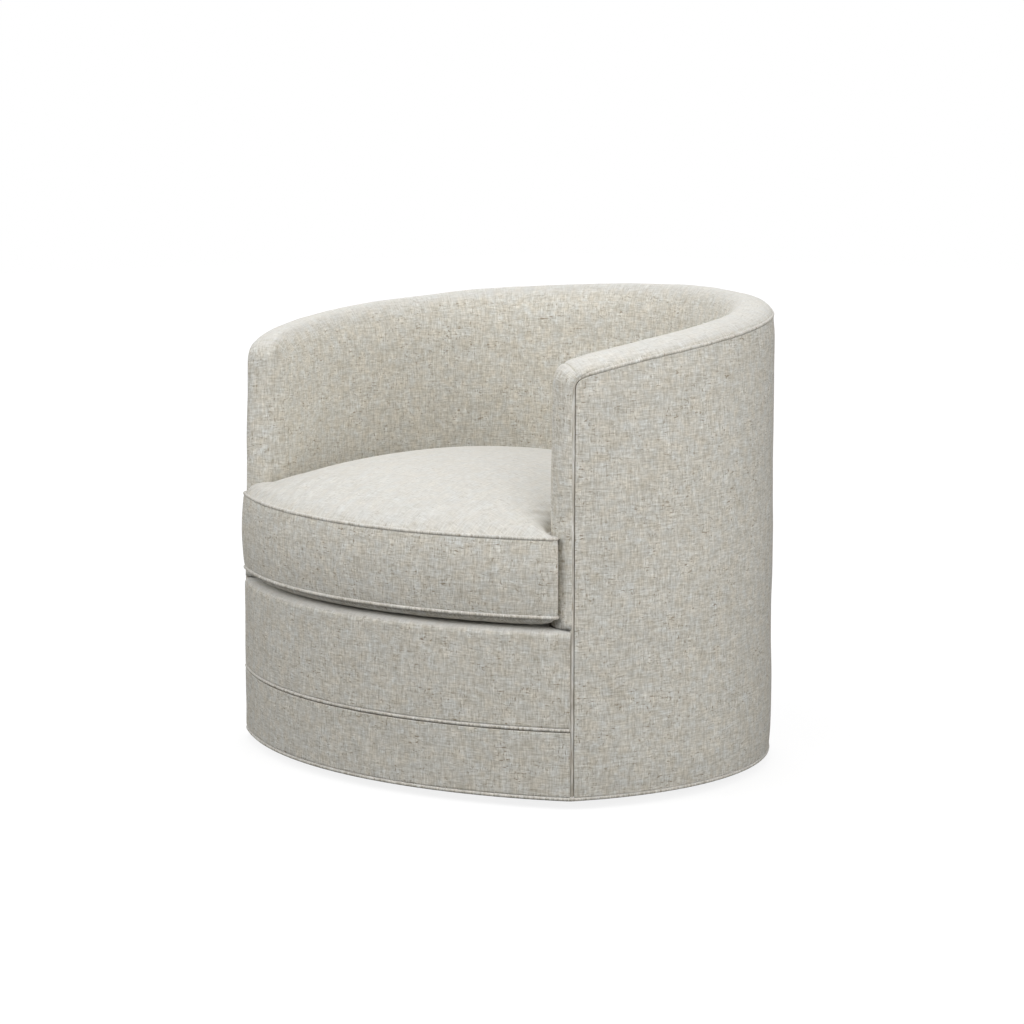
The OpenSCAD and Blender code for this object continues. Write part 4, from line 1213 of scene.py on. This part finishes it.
@dataclass
class Cushion:
    """The loose boxed cushion: a crowned top, a boxing that swells at the front, and two welts."""

    tub: TubShape
    cords: CordTree
    low: float = 0.2752
    high: float = 0.387
    rest: float = 0.2598
    gap: float = 0.0024
    ear_short: float = 0.0136
    welt_sinks: tuple[float, float] = (0.0018, 0.0011)
    seam_in: float = 0.0032
    seam_fade: float = 0.0020
    spacing: float = 0.0085
    low_spacing: float = 0.014
    fine_spacing: float = 0.0042
    fine_reach: float = 0.105
    edge_puff: float = 0.0225
    edge_soft: float = 0.0146
    corner_soft: tuple[float, float] = (0.0085, 0.0150)
    corner_reach: tuple[float, float] = (0.008, 0.060)
    side_soft: tuple[float, float] = (0.0034, 0.0070)
    crown_blur: float = 0.20
    crown: float = 0.0549
    crown_powers: tuple[float, float] = (2.84, 1.6)
    under_reach: float = 0.030
    corner_round: float = 0.0060
    crease_depth: float = 0.0026
    creases: tuple[tuple[float, ...], ...] = ((13, 1.0, 0.014, 0.050, 5.5), (-6, 0.4, 0.016, 0.045, 3.5),
                                              (34, 0.6, 0.014, 0.050, 5.5), (58, 0.3, 0.016, 0.045, 5.0))
    ring_insets: tuple[float, ...] = (0.0025, 0.0062, 0.0115)
    low_share: float = 0.2
    count: int = 340
    sim_frames: int = 18
    puff_cap: float = 0.004
    broad_share: float = 0.15
    top_free: tuple[float, float] = (0.0, 0.014)
    seam_free: tuple[float, float] = (0.002, 0.014)
    front_free: tuple[float, float] = (0.16, 0.22)
    half_free: float = 0.33
    boxing_free: float = 0.6
    smooth_rounds: int = 40

    def bow(self, swell: float, steps: int) -> np.ndarray:
        """The front of the cushion's outline."""
        tub = self.tub
        r = tub.bow_radius + tub.cushion_proud
        half = math.asin((tub.front_x - self.ear_short) / r)
        t = np.linspace(-1, 1, steps)
        proud = tub.cushion_proud + swell * (0.75 + 0.25 * np.cos(math.pi / 2 * t))
        return tub.bow_point(half * t, -proud, 0)[:, :2]

    def ear(self, steps: int) -> np.ndarray:
        """The right ear's side, which follows the padded roll of the arm front."""
        tub = self.tub
        first = math.acos((tub.crest - self.ear_short) / (tub.crest - tub.roll_out))
        outer = np.linspace(first, math.pi / 2, steps // 2)
        inner = np.linspace(math.pi / 2, 0, steps - steps // 2 + 1)[1:]
        rise = tub.roll_foot + tub.inner_edge * np.sin(inner)
        grow = np.where(rise > 0, tub.front_roll_rise / tub.roll_rise, 1.0)
        ahead = np.concatenate([tub.front_roll_rise * np.sin(outer), rise * grow])
        deep = np.concatenate([tub.crest - (tub.crest - tub.roll_out) * np.cos(outer),
                               tub.crest + (tub.wall + self.gap - tub.crest) * np.cos(inner)])
        return tub.wall_point(tub.seam_start - ahead - self.gap, deep, 0)[:, :2]

    def back(self, z: float, steps: int) -> np.ndarray:
        """The part of the outline that follows the inside wall at a height."""
        tub = self.tub
        start = tub.seam_start - tub.roll_foot - self.gap
        run = np.linspace(start, 2 * tub.half_round - start, steps)[1:-1]
        return tub.wall_point(run, tub.inside_depth(run, z) + self.gap, 0)[:, :2]

    def outline(self, z: float, inwards: float, swell: float = 0.0) -> np.ndarray:
        """The cushion's outline at a height, drawn in by a distance, with a fixed number of points."""
        ear = self.ear(24)
        loop = np.concatenate([self.bow(swell, 90), ear, self.back(z, 200), (ear * [-1, 1])[::-1]])
        loop = self.resampled(rounded(loop, self.corner_round))
        return loop + inward(loop) * inwards

    def resampled(self, loop: np.ndarray) -> np.ndarray:
        """The same number of points on any outline, from the middle of its front round."""
        start = int(np.argmin(np.abs(loop[:, 0]) + (loop[:, 1] > self.tub.mid_y) * 9.0))
        loop = np.roll(loop, -start, axis=0)
        if loop[3, 0] < loop[0, 0]:
            loop = np.roll(loop[::-1], 1, axis=0)
        line = np.concatenate([loop, loop[:1]])
        lengths = lengths_along(line)
        return points_at(line, lengths, np.linspace(0, lengths[-1], self.count, endpoint=False))

    def lift(self, x: np.ndarray) -> np.ndarray:
        """How much the upper seam rises at a place, because the cushion lies a little unevenly."""
        rise = 0.0012 - 0.014 * np.asarray(x)
        return (rise + np.sqrt(rise * rise + 1e-6)) / 2

    def crown_height(self, points: np.ndarray, edge: np.ndarray) -> np.ndarray:
        """How high the crown stands over the upper seam at points of the plan.

        Args:
            points: the places.
            edge: the seam's outline.

        Returns:
            One height for each point.
        """
        centre = np.array([0, self.tub.mid_y])
        away, border = points - centre, edge - centre
        turn = np.arctan2(away[:, 1], away[:, 0])
        loop_turn = np.arctan2(border[:, 1], border[:, 0])
        even = np.linspace(-math.pi, math.pi, 720, endpoint=False)
        order = np.argsort(loop_turn)
        reach = np.interp(even, loop_turn[order], np.linalg.norm(border, axis=1)[order], period=2 * math.pi)
        blur = np.exp(-((even / self.crown_blur) ** 2) / 2)
        reach = np.real(np.fft.ifft(np.fft.fft(reach) * np.fft.fft(np.roll(blur, -360) / blur.sum())))
        k = np.clip(np.linalg.norm(away, axis=1) / np.interp(turn, even, reach, period=2 * math.pi), 0, 1)
        a, b = self.crown_powers
        left, right = self.corners(edge)
        front = np.concatenate([edge[left:], edge[:right + 1]])
        sides = edge[right:left + 1]
        to_corner = np.min([np.linalg.norm(points - edge[i], axis=1) for i in (left, right)], axis=0)
        right_share = smoothstep(points[:, 0], -0.1, 0.1)
        corner_soft, side_soft = (low * (1 - right_share) + high * right_share
                                  for low, high in (self.corner_soft, self.side_soft))
        soft = corner_soft + (self.edge_soft - corner_soft) * smoothstep(to_corner, *self.corner_reach)
        near_front = 1 - np.exp(-distance_to(points, np.concatenate([front, front[::-1]])) / soft)
        near_side = 1 - np.exp(-distance_to(points, np.concatenate([sides, sides[::-1]])) / side_soft)
        height = self.edge_puff * near_front * near_side + self.crown * (1 - k**a) ** b
        return height - self.folds(points, edge, distance_to(points, edge))

    def corners(self, edge: np.ndarray) -> tuple[int, int]:
        """Which points of an outline are its left and right front corners."""
        return tuple(int(np.argmax(edge[:, 0] * side - edge[:, 1] * 0.6)) for side in (-1.0, 1.0))

    def folds(self, points: np.ndarray, edge: np.ndarray, to_edge: np.ndarray) -> np.ndarray:
        """Depth of the folds that run out of the two pinched front corners."""
        total = np.zeros(len(points))
        for side, index in zip((-1.0, 1.0), self.corners(edge)):
            away = (points - edge[index]) * [-side, 1]
            r = np.linalg.norm(away, axis=1)
            turn = np.degrees(np.arctan2(away[:, 1], away[:, 0]))
            for angle, depth, start, end, width in self.creases:
                along = smoothstep(r, start * 0.4, start) * (1 - smoothstep(r, start, end))
                total += depth * along * np.exp(-(((turn - angle) / width) ** 2))
        return self.crease_depth * total * smoothstep(to_edge, 0.001, 0.008)

    def panel(self, edge: np.ndarray, step: float, fine: bool) -> tuple[np.ndarray, list[tuple[int, ...]]]:
        """Fills an outline with even triangles.

        Args:
            edge: the outline.
            step: the size of the triangles.
            fine: whether they are smaller near the front corners.

        Returns:
            The points, of which the outline's come first, and the faces.
        """
        grid = even_points(edge.min(0), edge.max(0), step)
        if fine:
            for corner in edge[list(self.corners(edge))]:
                small = even_points(corner - self.fine_reach, corner + self.fine_reach, self.fine_spacing)
                small = small[np.linalg.norm(small - corner, axis=1) < self.fine_reach]
                grid = grid[np.linalg.norm(grid - corner, axis=1) > self.fine_reach + step / 3]
                grid = np.concatenate([grid, small])
        grid = grid[inside_of(grid, edge) & (distance_to(grid, edge) > self.ring_insets[-1] + step * 0.4)]
        for inset in self.ring_insets:
            ring = edge + inward(edge) * inset
            grid = np.concatenate([grid, ring[distance_to(ring, edge) > inset * 0.93]])
        points = np.concatenate([edge, grid])
        count = len(edge)
        border = [(i, (i + 1) % count) for i in range(count)]
        found = delaunay_2d_cdt([Vector(p) for p in points], border, [], 1, 1e-7, True)
        order = [ids[0] if ids else -1 for ids in found[3]]
        assert -1 not in order, "the outline of a cushion panel crosses itself"
        return points, [tuple(order[i] for i in f) for f in found[2]]

    def build(self, finishes: Finishes) -> bpy.types.Object:
        """Makes the cushion, puffs it, and adds its welts."""
        edge_top = self.outline(self.high, self.seam_in)
        edge_low = self.outline(self.low, self.seam_in)
        top, top_faces = self.panel(edge_top, self.spacing, True)
        low, low_faces = self.panel(edge_low, self.low_spacing, False)
        count = self.count
        height = self.crown_height(top, edge_top)
        height[:count] = 0
        inset = np.clip(distance_to(low, edge_low) / self.under_reach, 0, 1)
        inset[:count] = 0
        low_lift = self.lift(low[:, 0]) * self.low_share
        drop = (self.low + low_lift - self.rest) * np.sqrt(1 - (1 - inset) ** 2)
        side, side_near = self.boxing()
        points = np.concatenate([np.column_stack([top, self.high + self.lift(top[:, 0]) + height]),
                                 np.column_stack([low, self.low + low_lift - drop]), side])
        faces = list(top_faces) + [tuple(len(top) + i for i in f[::-1]) for f in low_faces]
        first = len(top) + len(low)
        rings = [[len(top) + i for i in range(count)]]
        rings += [[first + r * count + i for i in range(count)] for r in range(len(side) // count)]
        rings.append(list(range(count)))
        panels = [0] * len(top_faces) + [1] * len(low_faces)
        for a, b in zip(rings[:-1], rings[1:]):
            faces += [(a[i], a[(i + 1) % count], b[(i + 1) % count], b[i]) for i in range(count)]
        panels += [2] * (len(faces) - len(panels))
        made = new_object("cushion", points, faces, self.cloth_map(points, faces, panels, rings, edge_top))
        tidy_mesh(made, 1e-6)
        free = np.zeros(len(points))
        free[:len(top)] = smoothstep(distance_to(top, edge_top), *self.top_free)
        front = smoothstep(self.tub.mid_y - side[:, 1], *self.front_free)
        front = front * smoothstep(self.half_free - np.abs(side[:, 0]), 0, 0.03)
        free[first:] = smoothstep(side_near, *self.seam_free) * front * self.boxing_free
        self.puff(made, free)
        smooth = made.modifiers.new("finish", "SUBSURF")
        smooth.levels = smooth.render_levels = 1
        settle(made)
        dress(made, finishes.linen, "cushion", "linen", "cushion_cover", "cushion_core")
        self.welts(finishes)
        return made

    def boxing(self) -> tuple[np.ndarray, np.ndarray]:
        """The points of the boxing, ring by ring upwards, and how far each lies from its nearer seam."""
        deep = self.high - self.low
        side, side_near = [], []
        for k in (spaced(0, deep, 14) / deep)[1:-1]:
            near = min(k, 1 - k) * deep
            inwards = self.seam_in * math.exp(-near / self.seam_fade)
            loop = self.outline(self.low + deep * k, inwards, self.tub.boxing_swell * math.sin(math.pi * k))
            rise = self.lift(loop[:, 0])
            z = (self.low + rise * self.low_share) * (1 - k) + (self.high + rise) * k
            side.append(np.column_stack([loop, z]))
            side_near.append(np.full(self.count, near))
        return np.concatenate(side), np.concatenate(side_near)

    def cloth_map(self, points: np.ndarray, faces: Sequence[Sequence[int]], panels: Sequence[int],
                  rings: Sequence[Sequence[int]], edge: np.ndarray) -> np.ndarray:
        """A map of the cloth for each face corner: the plan for the panels, the boxing unrolled."""
        round_way = lengths_along(np.concatenate([edge, edge[:1]]))
        spot = {v: i for ring in rings for i, v in enumerate(ring)}
        total = round_way[-1]
        uv = []
        for face, panel in zip(faces, panels):
            if panel < 2:
                uv += [points[v, :2] for v in face]
                continue
            places = [round_way[spot[v]] for v in face]
            if max(places) - min(places) > total / 2:
                places = [p + total if p < total / 2 else p for p in places]
            uv += [(p, points[v, 2] + 1.0) for p, v in zip(places, face)]
        return np.array(uv)

    def puff(self, obj: bpy.types.Object, free: np.ndarray) -> None:
        """Simulates the cloth under pressure, and keeps its folds without letting it grow past the cap."""
        scene = bpy.context.scene
        base = points_of(obj)
        held = obj.vertex_groups.new(name="held")
        for i, share in enumerate(free):
            held.add([i], float(1 - share), "REPLACE")
        cloth = obj.modifiers.new("puff", "CLOTH")
        s = cloth.settings
        s.quality = 6
        s.mass = 0.25
        s.tension_stiffness = s.compression_stiffness = 12
        s.shear_stiffness = 4
        s.bending_stiffness = 0.12
        s.use_pressure = True
        s.uniform_pressure_force = 3.5
        s.shrink_min = -0.02
        s.effector_weights.gravity = 0
        s.vertex_group_mass = "held"
        cloth.collision_settings.use_collision = False
        for number in range(1, self.sim_frames + 1):
            scene.frame_set(number)
        graph = bpy.context.evaluated_depsgraph_get()
        mesh = bpy.data.meshes.new_from_object(obj.evaluated_get(graph))
        moved = np.array([v.co for v in mesh.vertices]) - base
        bpy.data.meshes.remove(mesh)
        obj.modifiers.clear()
        obj.vertex_groups.clear()
        scene.frame_set(1)
        size = np.linalg.norm(moved, axis=1)
        log.info("cushion moved by up to %.1f mm, typically %.1f mm, before the cap", size.max() * 1000,
                 np.median(size) * 1000)
        broad = self.spread(obj, moved)
        lift = (moved - broad) + broad * self.broad_share
        size = np.maximum(np.linalg.norm(lift, axis=1), 1e-9)
        lift *= (np.tanh(size / self.puff_cap) * self.puff_cap / size)[:, None]
        move_to(obj, base + lift * free[:, None] ** 0.5)

    def spread(self, obj: bpy.types.Object, moved: np.ndarray) -> np.ndarray:
        """Smooths a movement over the mesh, for its broad part without its folds."""
        edges = np.array([e.vertices[:] for e in obj.data.edges])
        count = np.bincount(edges.ravel(), minlength=len(moved))[:, None]
        out = moved.copy()
        for _ in range(self.smooth_rounds):
            total = np.zeros_like(out)
            np.add.at(total, edges[:, 0], out[edges[:, 1]])
            np.add.at(total, edges[:, 1], out[edges[:, 0]])
            out = 0.4 * out + 0.6 * total / count
        return out

    def welts(self, finishes: Finishes) -> None:
        """Makes the two cords round the cushion's edges."""
        for name, z, share, sink, node in (
                ("cushion_top_cord", self.high, 1.0, self.welt_sinks[0], "cushion_welt_top"),
                ("cushion_low_cord", self.low, self.low_share, self.welt_sinks[1], "cushion_welt_low")):
            loop = self.outline(z, sink)
            line = rounded(np.column_stack([loop, z + self.lift(loop[:, 0]) * share]), 0.002)
            made = self.cords.run(name, line, self.tub.cord_radius, finishes.welt, closed=True)
            dress(made, finishes.welt, "cushion", "welt", node)


@dataclass
class Deck:
    """The padded deck under the loose cushion, in its plain cloth."""

    tub: TubShape
    top: float = 0.2588
    low: float = 0.2385
    gap: float = 0.0006
    edge_round: float = 0.003
    rings: int = 34
    columns: int = 260
    waves: Waves = ((0.09, 41, 0.0005),)
    long_waves: Waves = ((0.03, 42, 0.0002),)

    def outline(self) -> np.ndarray:
        """The deck's plan: behind the apron's flange, and inside the wall."""
        tub = self.tub
        turn, half = tub.front_corner(tub.radius - tub.wall - self.gap,
                                      tub.bow_radius - tub.apron_flange - tub.seam_gap)
        bow = tub.bow_point(np.linspace(-half, half, 90), tub.apron_flange + tub.seam_gap, 0)[:, :2]
        start = turn * tub.radius
        run = np.linspace(start, 2 * tub.half_round - start, 220)[1:-1]
        back = tub.wall_point(run, tub.inside_depth(run, self.low) + self.gap, 0)[:, :2]
        loop = np.concatenate([bow, back])
        line = np.concatenate([loop, loop[:1]])
        lengths = lengths_along(line)
        corners = lengths[[len(bow) - 1, len(bow), len(loop) - 1]]
        marks = np.union1d(np.linspace(0, lengths[-1], self.columns, endpoint=False), corners)
        return points_at(line, lengths, marks)

    def build(self, finishes: Finishes) -> bpy.types.Object:
        """Makes the deck as one closed padded piece."""
        loop = self.outline()
        centre = loop.mean(0)
        away = loop - centre
        inset = 1 - np.array([0.0, 0.001, 0.002, 0.003]) / 0.3
        rows = [np.column_stack([centre + away * k, np.full(len(loop), self.low)])
                for k in (0.02, 0.5, 1.0)]
        rows += [np.column_stack([loop, np.full(len(loop), z)])
                 for z in np.linspace(self.low, self.top - self.edge_round, 5)[1:]]
        for k, w in zip(inset[1:], (0.4, 0.9, 1.4)):
            z = self.top - self.edge_round * (1 - math.sin(w))
            rows.append(np.column_stack([centre + away * k, np.full(len(loop), z)]))
        for k in np.linspace(inset[-1], 0.02, self.rings)[1:]:
            plan = centre + away * k
            waves = unevenness(plan, self.waves) + unevenness(plan * [1, 0.4], self.long_waves)
            rows.append(np.column_stack([plan, self.top + waves - 0.0002]))
        grid = np.array(rows)
        count = len(loop)
        faces = grid_faces(len(rows), count, closed=True)
        faces.append(tuple(range(count))[::-1])
        faces.append(tuple((len(rows) - 1) * count + i for i in range(count)))
        made = new_object("deck", grid, faces, grid[..., :2].reshape(-1, 2))
        tidy_mesh(made, 1e-5)
        dress(made, finishes.deck, "chair", "deck_cloth", "deck_pad", "deck_cloth")
        return made


def even_points(low: np.ndarray, high: np.ndarray, step: float) -> np.ndarray:
    """Points of an even triangle grid between two corners of the plan."""
    rows = []
    for i, y in enumerate(np.arange(low[1], high[1], step * math.sqrt(3) / 2)):
        x = np.arange(low[0] + (i % 2) * step / 2, high[0], step)
        rows.append(np.column_stack([x, np.full(len(x), y)]))
    return np.concatenate(rows)


def distance_to(points: np.ndarray, loop: np.ndarray) -> np.ndarray:
    """How far each point of the plan lies from a closed line."""
    a, b = loop, np.roll(loop, -1, axis=0)
    ab = b - a
    length = (ab**2).sum(1) + 1e-18
    best = np.full(len(points), 1e9)
    for start in range(0, len(points), 2000):
        part = points[start:start + 2000]
        ap = part[:, None] - a[None]
        t = np.clip((ap * ab).sum(2) / length, 0, 1)
        best[start:start + 2000] = np.sqrt(((ap - t[..., None] * ab) ** 2).sum(2)).min(1)
    return best


def inside_of(points: np.ndarray, loop: np.ndarray) -> np.ndarray:
    """Whether each point of the plan lies inside a closed line."""
    inside = np.zeros(len(points), bool)
    for a, b in zip(loop, np.roll(loop, -1, axis=0)):
        crosses = (a[1] > points[:, 1]) != (b[1] > points[:, 1])
        if abs(b[1] - a[1]) < 1e-12:
            continue
        at = a[0] + (points[:, 1] - a[1]) * (b[0] - a[0]) / (b[1] - a[1])
        inside ^= crosses & (points[:, 0] < at)
    return inside


# ---- The carried-over pieces, the room and the camera


@dataclass
class Mechanism:
    """The frame's own pieces, which keep their shapes and get their finishes."""

    finishes: Finishes

    def build(self) -> None:
        """Puts a finish on every node that keeps its shape."""
        f = self.finishes
        table = {
            f.ply_flat: ["base_disc", "swivel_boards", "bottom_ring", "seat_ring"],
            f.ply_upright: ["front_rail", "front_post_right", "front_post_left", "top_rail",
                            *(f"upright_{i}" for i in range(1, 8))],
            f.board: ["outer_liner", "inner_liner", "apron_liner"],
            f.zinc: ["lower_plate", "upper_plate", "pivot_rivet", "lower_screws", "plate_bolts", "tee_nuts",
                     "spring_clips"],
            f.spring: ["seat_springs"],
            f.bearing: ["balls"],
            f.nylon: ["ball_cage"],
            f.glide: ["floor_glides"],
            f.felt: ["spring_insulator"],
            f.dust: ["dust_cover"],
            f.zip: ["cushion_zip"],
        }
        for material, names in table.items():
            for name in names:
                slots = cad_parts[name].data.materials
                slots.clear()
                slots.append(material)
        log.info("%d carried-over nodes have their finishes", sum(len(n) for n in table.values()))


@dataclass(frozen=True)
class Lamp:
    """One soft square lamp that points at the chair."""

    name: str
    place: tuple[float, float, float]
    size: float
    power: float
    aim: tuple[float, float, float] = (0, 0, 0.3)

    def build(self) -> None:
        """Makes the lamp."""
        data = bpy.data.lights.new(self.name, "AREA")
        data.shape, data.size, data.energy = "SQUARE", self.size, self.power
        made = add_object(self.name, data)
        made.location = self.place
        made.rotation_euler = (Vector(self.aim) - Vector(self.place)).to_track_quat("-Z", "Y").to_euler()
        made.visible_camera = False


@dataclass
class Studio:
    """A white room, soft lamps and the camera."""

    camera_place: tuple[float, float, float] = (3.2222, -3.1281, 0.9450)
    azimuth: float = 46.0
    elevation: float = 7.2916
    lens: float = 102.652
    sensor: float = 36.0
    floor_half: float = 14.0
    lamps: tuple[Lamp, ...] = (
        Lamp("overhead", (0.3, -0.5, 2.9), 3.0, 49.4),
        Lamp("front", (-1.2, -2.8, 1.9), 2.0, 69.4),
        Lamp("side", (2.6, -0.8, 0.9), 2.0, 42.6),
        Lamp("side_back", (2.4, 1.2, 1.9), 2.0, 22.0),
        Lamp("back", (-1.5, 1.8, 2.2), 2.0, 39.5),
    )

    def build(self) -> None:
        """Makes the camera, the floor, the lamps and the world."""
        self.camera()
        self.floor()
        for lamp in self.lamps:
            lamp.build()
        self.world()
        bpy.context.scene.view_settings.view_transform = "Standard"

    def camera(self) -> None:
        """Makes the camera at the photograph's place."""
        data = bpy.data.cameras.new("camera")
        data.lens, data.sensor_width = self.lens, self.sensor
        made = add_object("camera", data)
        a, e = math.radians(self.azimuth), math.radians(self.elevation)
        back = Vector((math.sin(a) * math.cos(e), -math.cos(a) * math.cos(e), math.sin(e)))
        made.location = self.camera_place
        made.rotation_euler = (-back).to_track_quat("-Z", "Y").to_euler()
        bpy.context.scene.camera = made

    def floor(self) -> None:
        """Makes the white floor, which keeps a soft shadow."""
        square = np.array([[-1, -1, 0], [1, -1, 0], [1, 1, 0], [-1, 1, 0]])
        made = new_object("floor", square * self.floor_half, [(0, 1, 2, 3)])
        m = Maker("floor_white")
        diffuse = m.node("ShaderNodeBsdfDiffuse", inputs={"Color": (0.9, 0.9, 0.9)})
        plain = m.node("ShaderNodeBsdfDiffuse", inputs={"Color": (0.07, 0.07, 0.07)})
        glow = m.node("ShaderNodeEmission", inputs={"Color": (1.0, 1.0, 1.0), "Strength": 1.06})
        x, y, _ = m.place(Place.SOLID)
        away = m.node("ShaderNodeMath", {"operation": "SQRT"}, {0: x * x + y * y})
        share = away.rise(0.5, 1.1) * 0.20 + 0.80
        seen = m.node("ShaderNodeMixShader", inputs={0: share, 1: diffuse, 2: glow})
        camera = m.node("ShaderNodeLightPath", out="Is Camera Ray")
        m.end(m.node("ShaderNodeMixShader", inputs={0: camera, 1: plain, 2: seen}))
        made.data.materials.append(m.material)

    def world(self) -> None:
        """Makes the white surroundings, with a softer light than they look."""
        world = bpy.data.worlds.new("room")
        bpy.context.scene.world = world
        world.use_nodes = True
        nodes, links = world.node_tree.nodes, world.node_tree.links
        nodes.clear()
        path, out, lit, seen, mix = (nodes.new("ShaderNode" + kind) for kind in (
            "LightPath", "OutputWorld", "Background", "Background", "MixShader"))
        lit.inputs["Color"].default_value = (0.98, 0.99, 1.0, 1.0)
        lit.inputs["Strength"].default_value = 0.04
        seen.inputs["Color"].default_value = (1.0, 1.0, 1.0, 1.0)
        links.new(path.outputs["Is Camera Ray"], mix.inputs[0])
        links.new(lit.outputs[0], mix.inputs[1])
        links.new(seen.outputs[0], mix.inputs[2])
        links.new(mix.outputs[0], out.inputs[0])


def main() -> None:
    """Builds the chair's looks, piece by piece, and keeps its size."""
    logging.basicConfig(level=logging.INFO, format="%(name)s: %(message)s")
    Studio().build()
    finishes = Finishes()
    Mechanism(finishes).build()
    cords = CordTree()
    InsideUpholstery(TUB).build(finishes)
    OutsideUpholstery(TUB).build(finishes)
    Apron(TUB).build(finishes)
    Deck(TUB).build(finishes)
    TubWelts(TUB, cords).build(finishes)
    Cushion(TUB, cords).build(finishes)


if __name__ == "__main__":
    main()
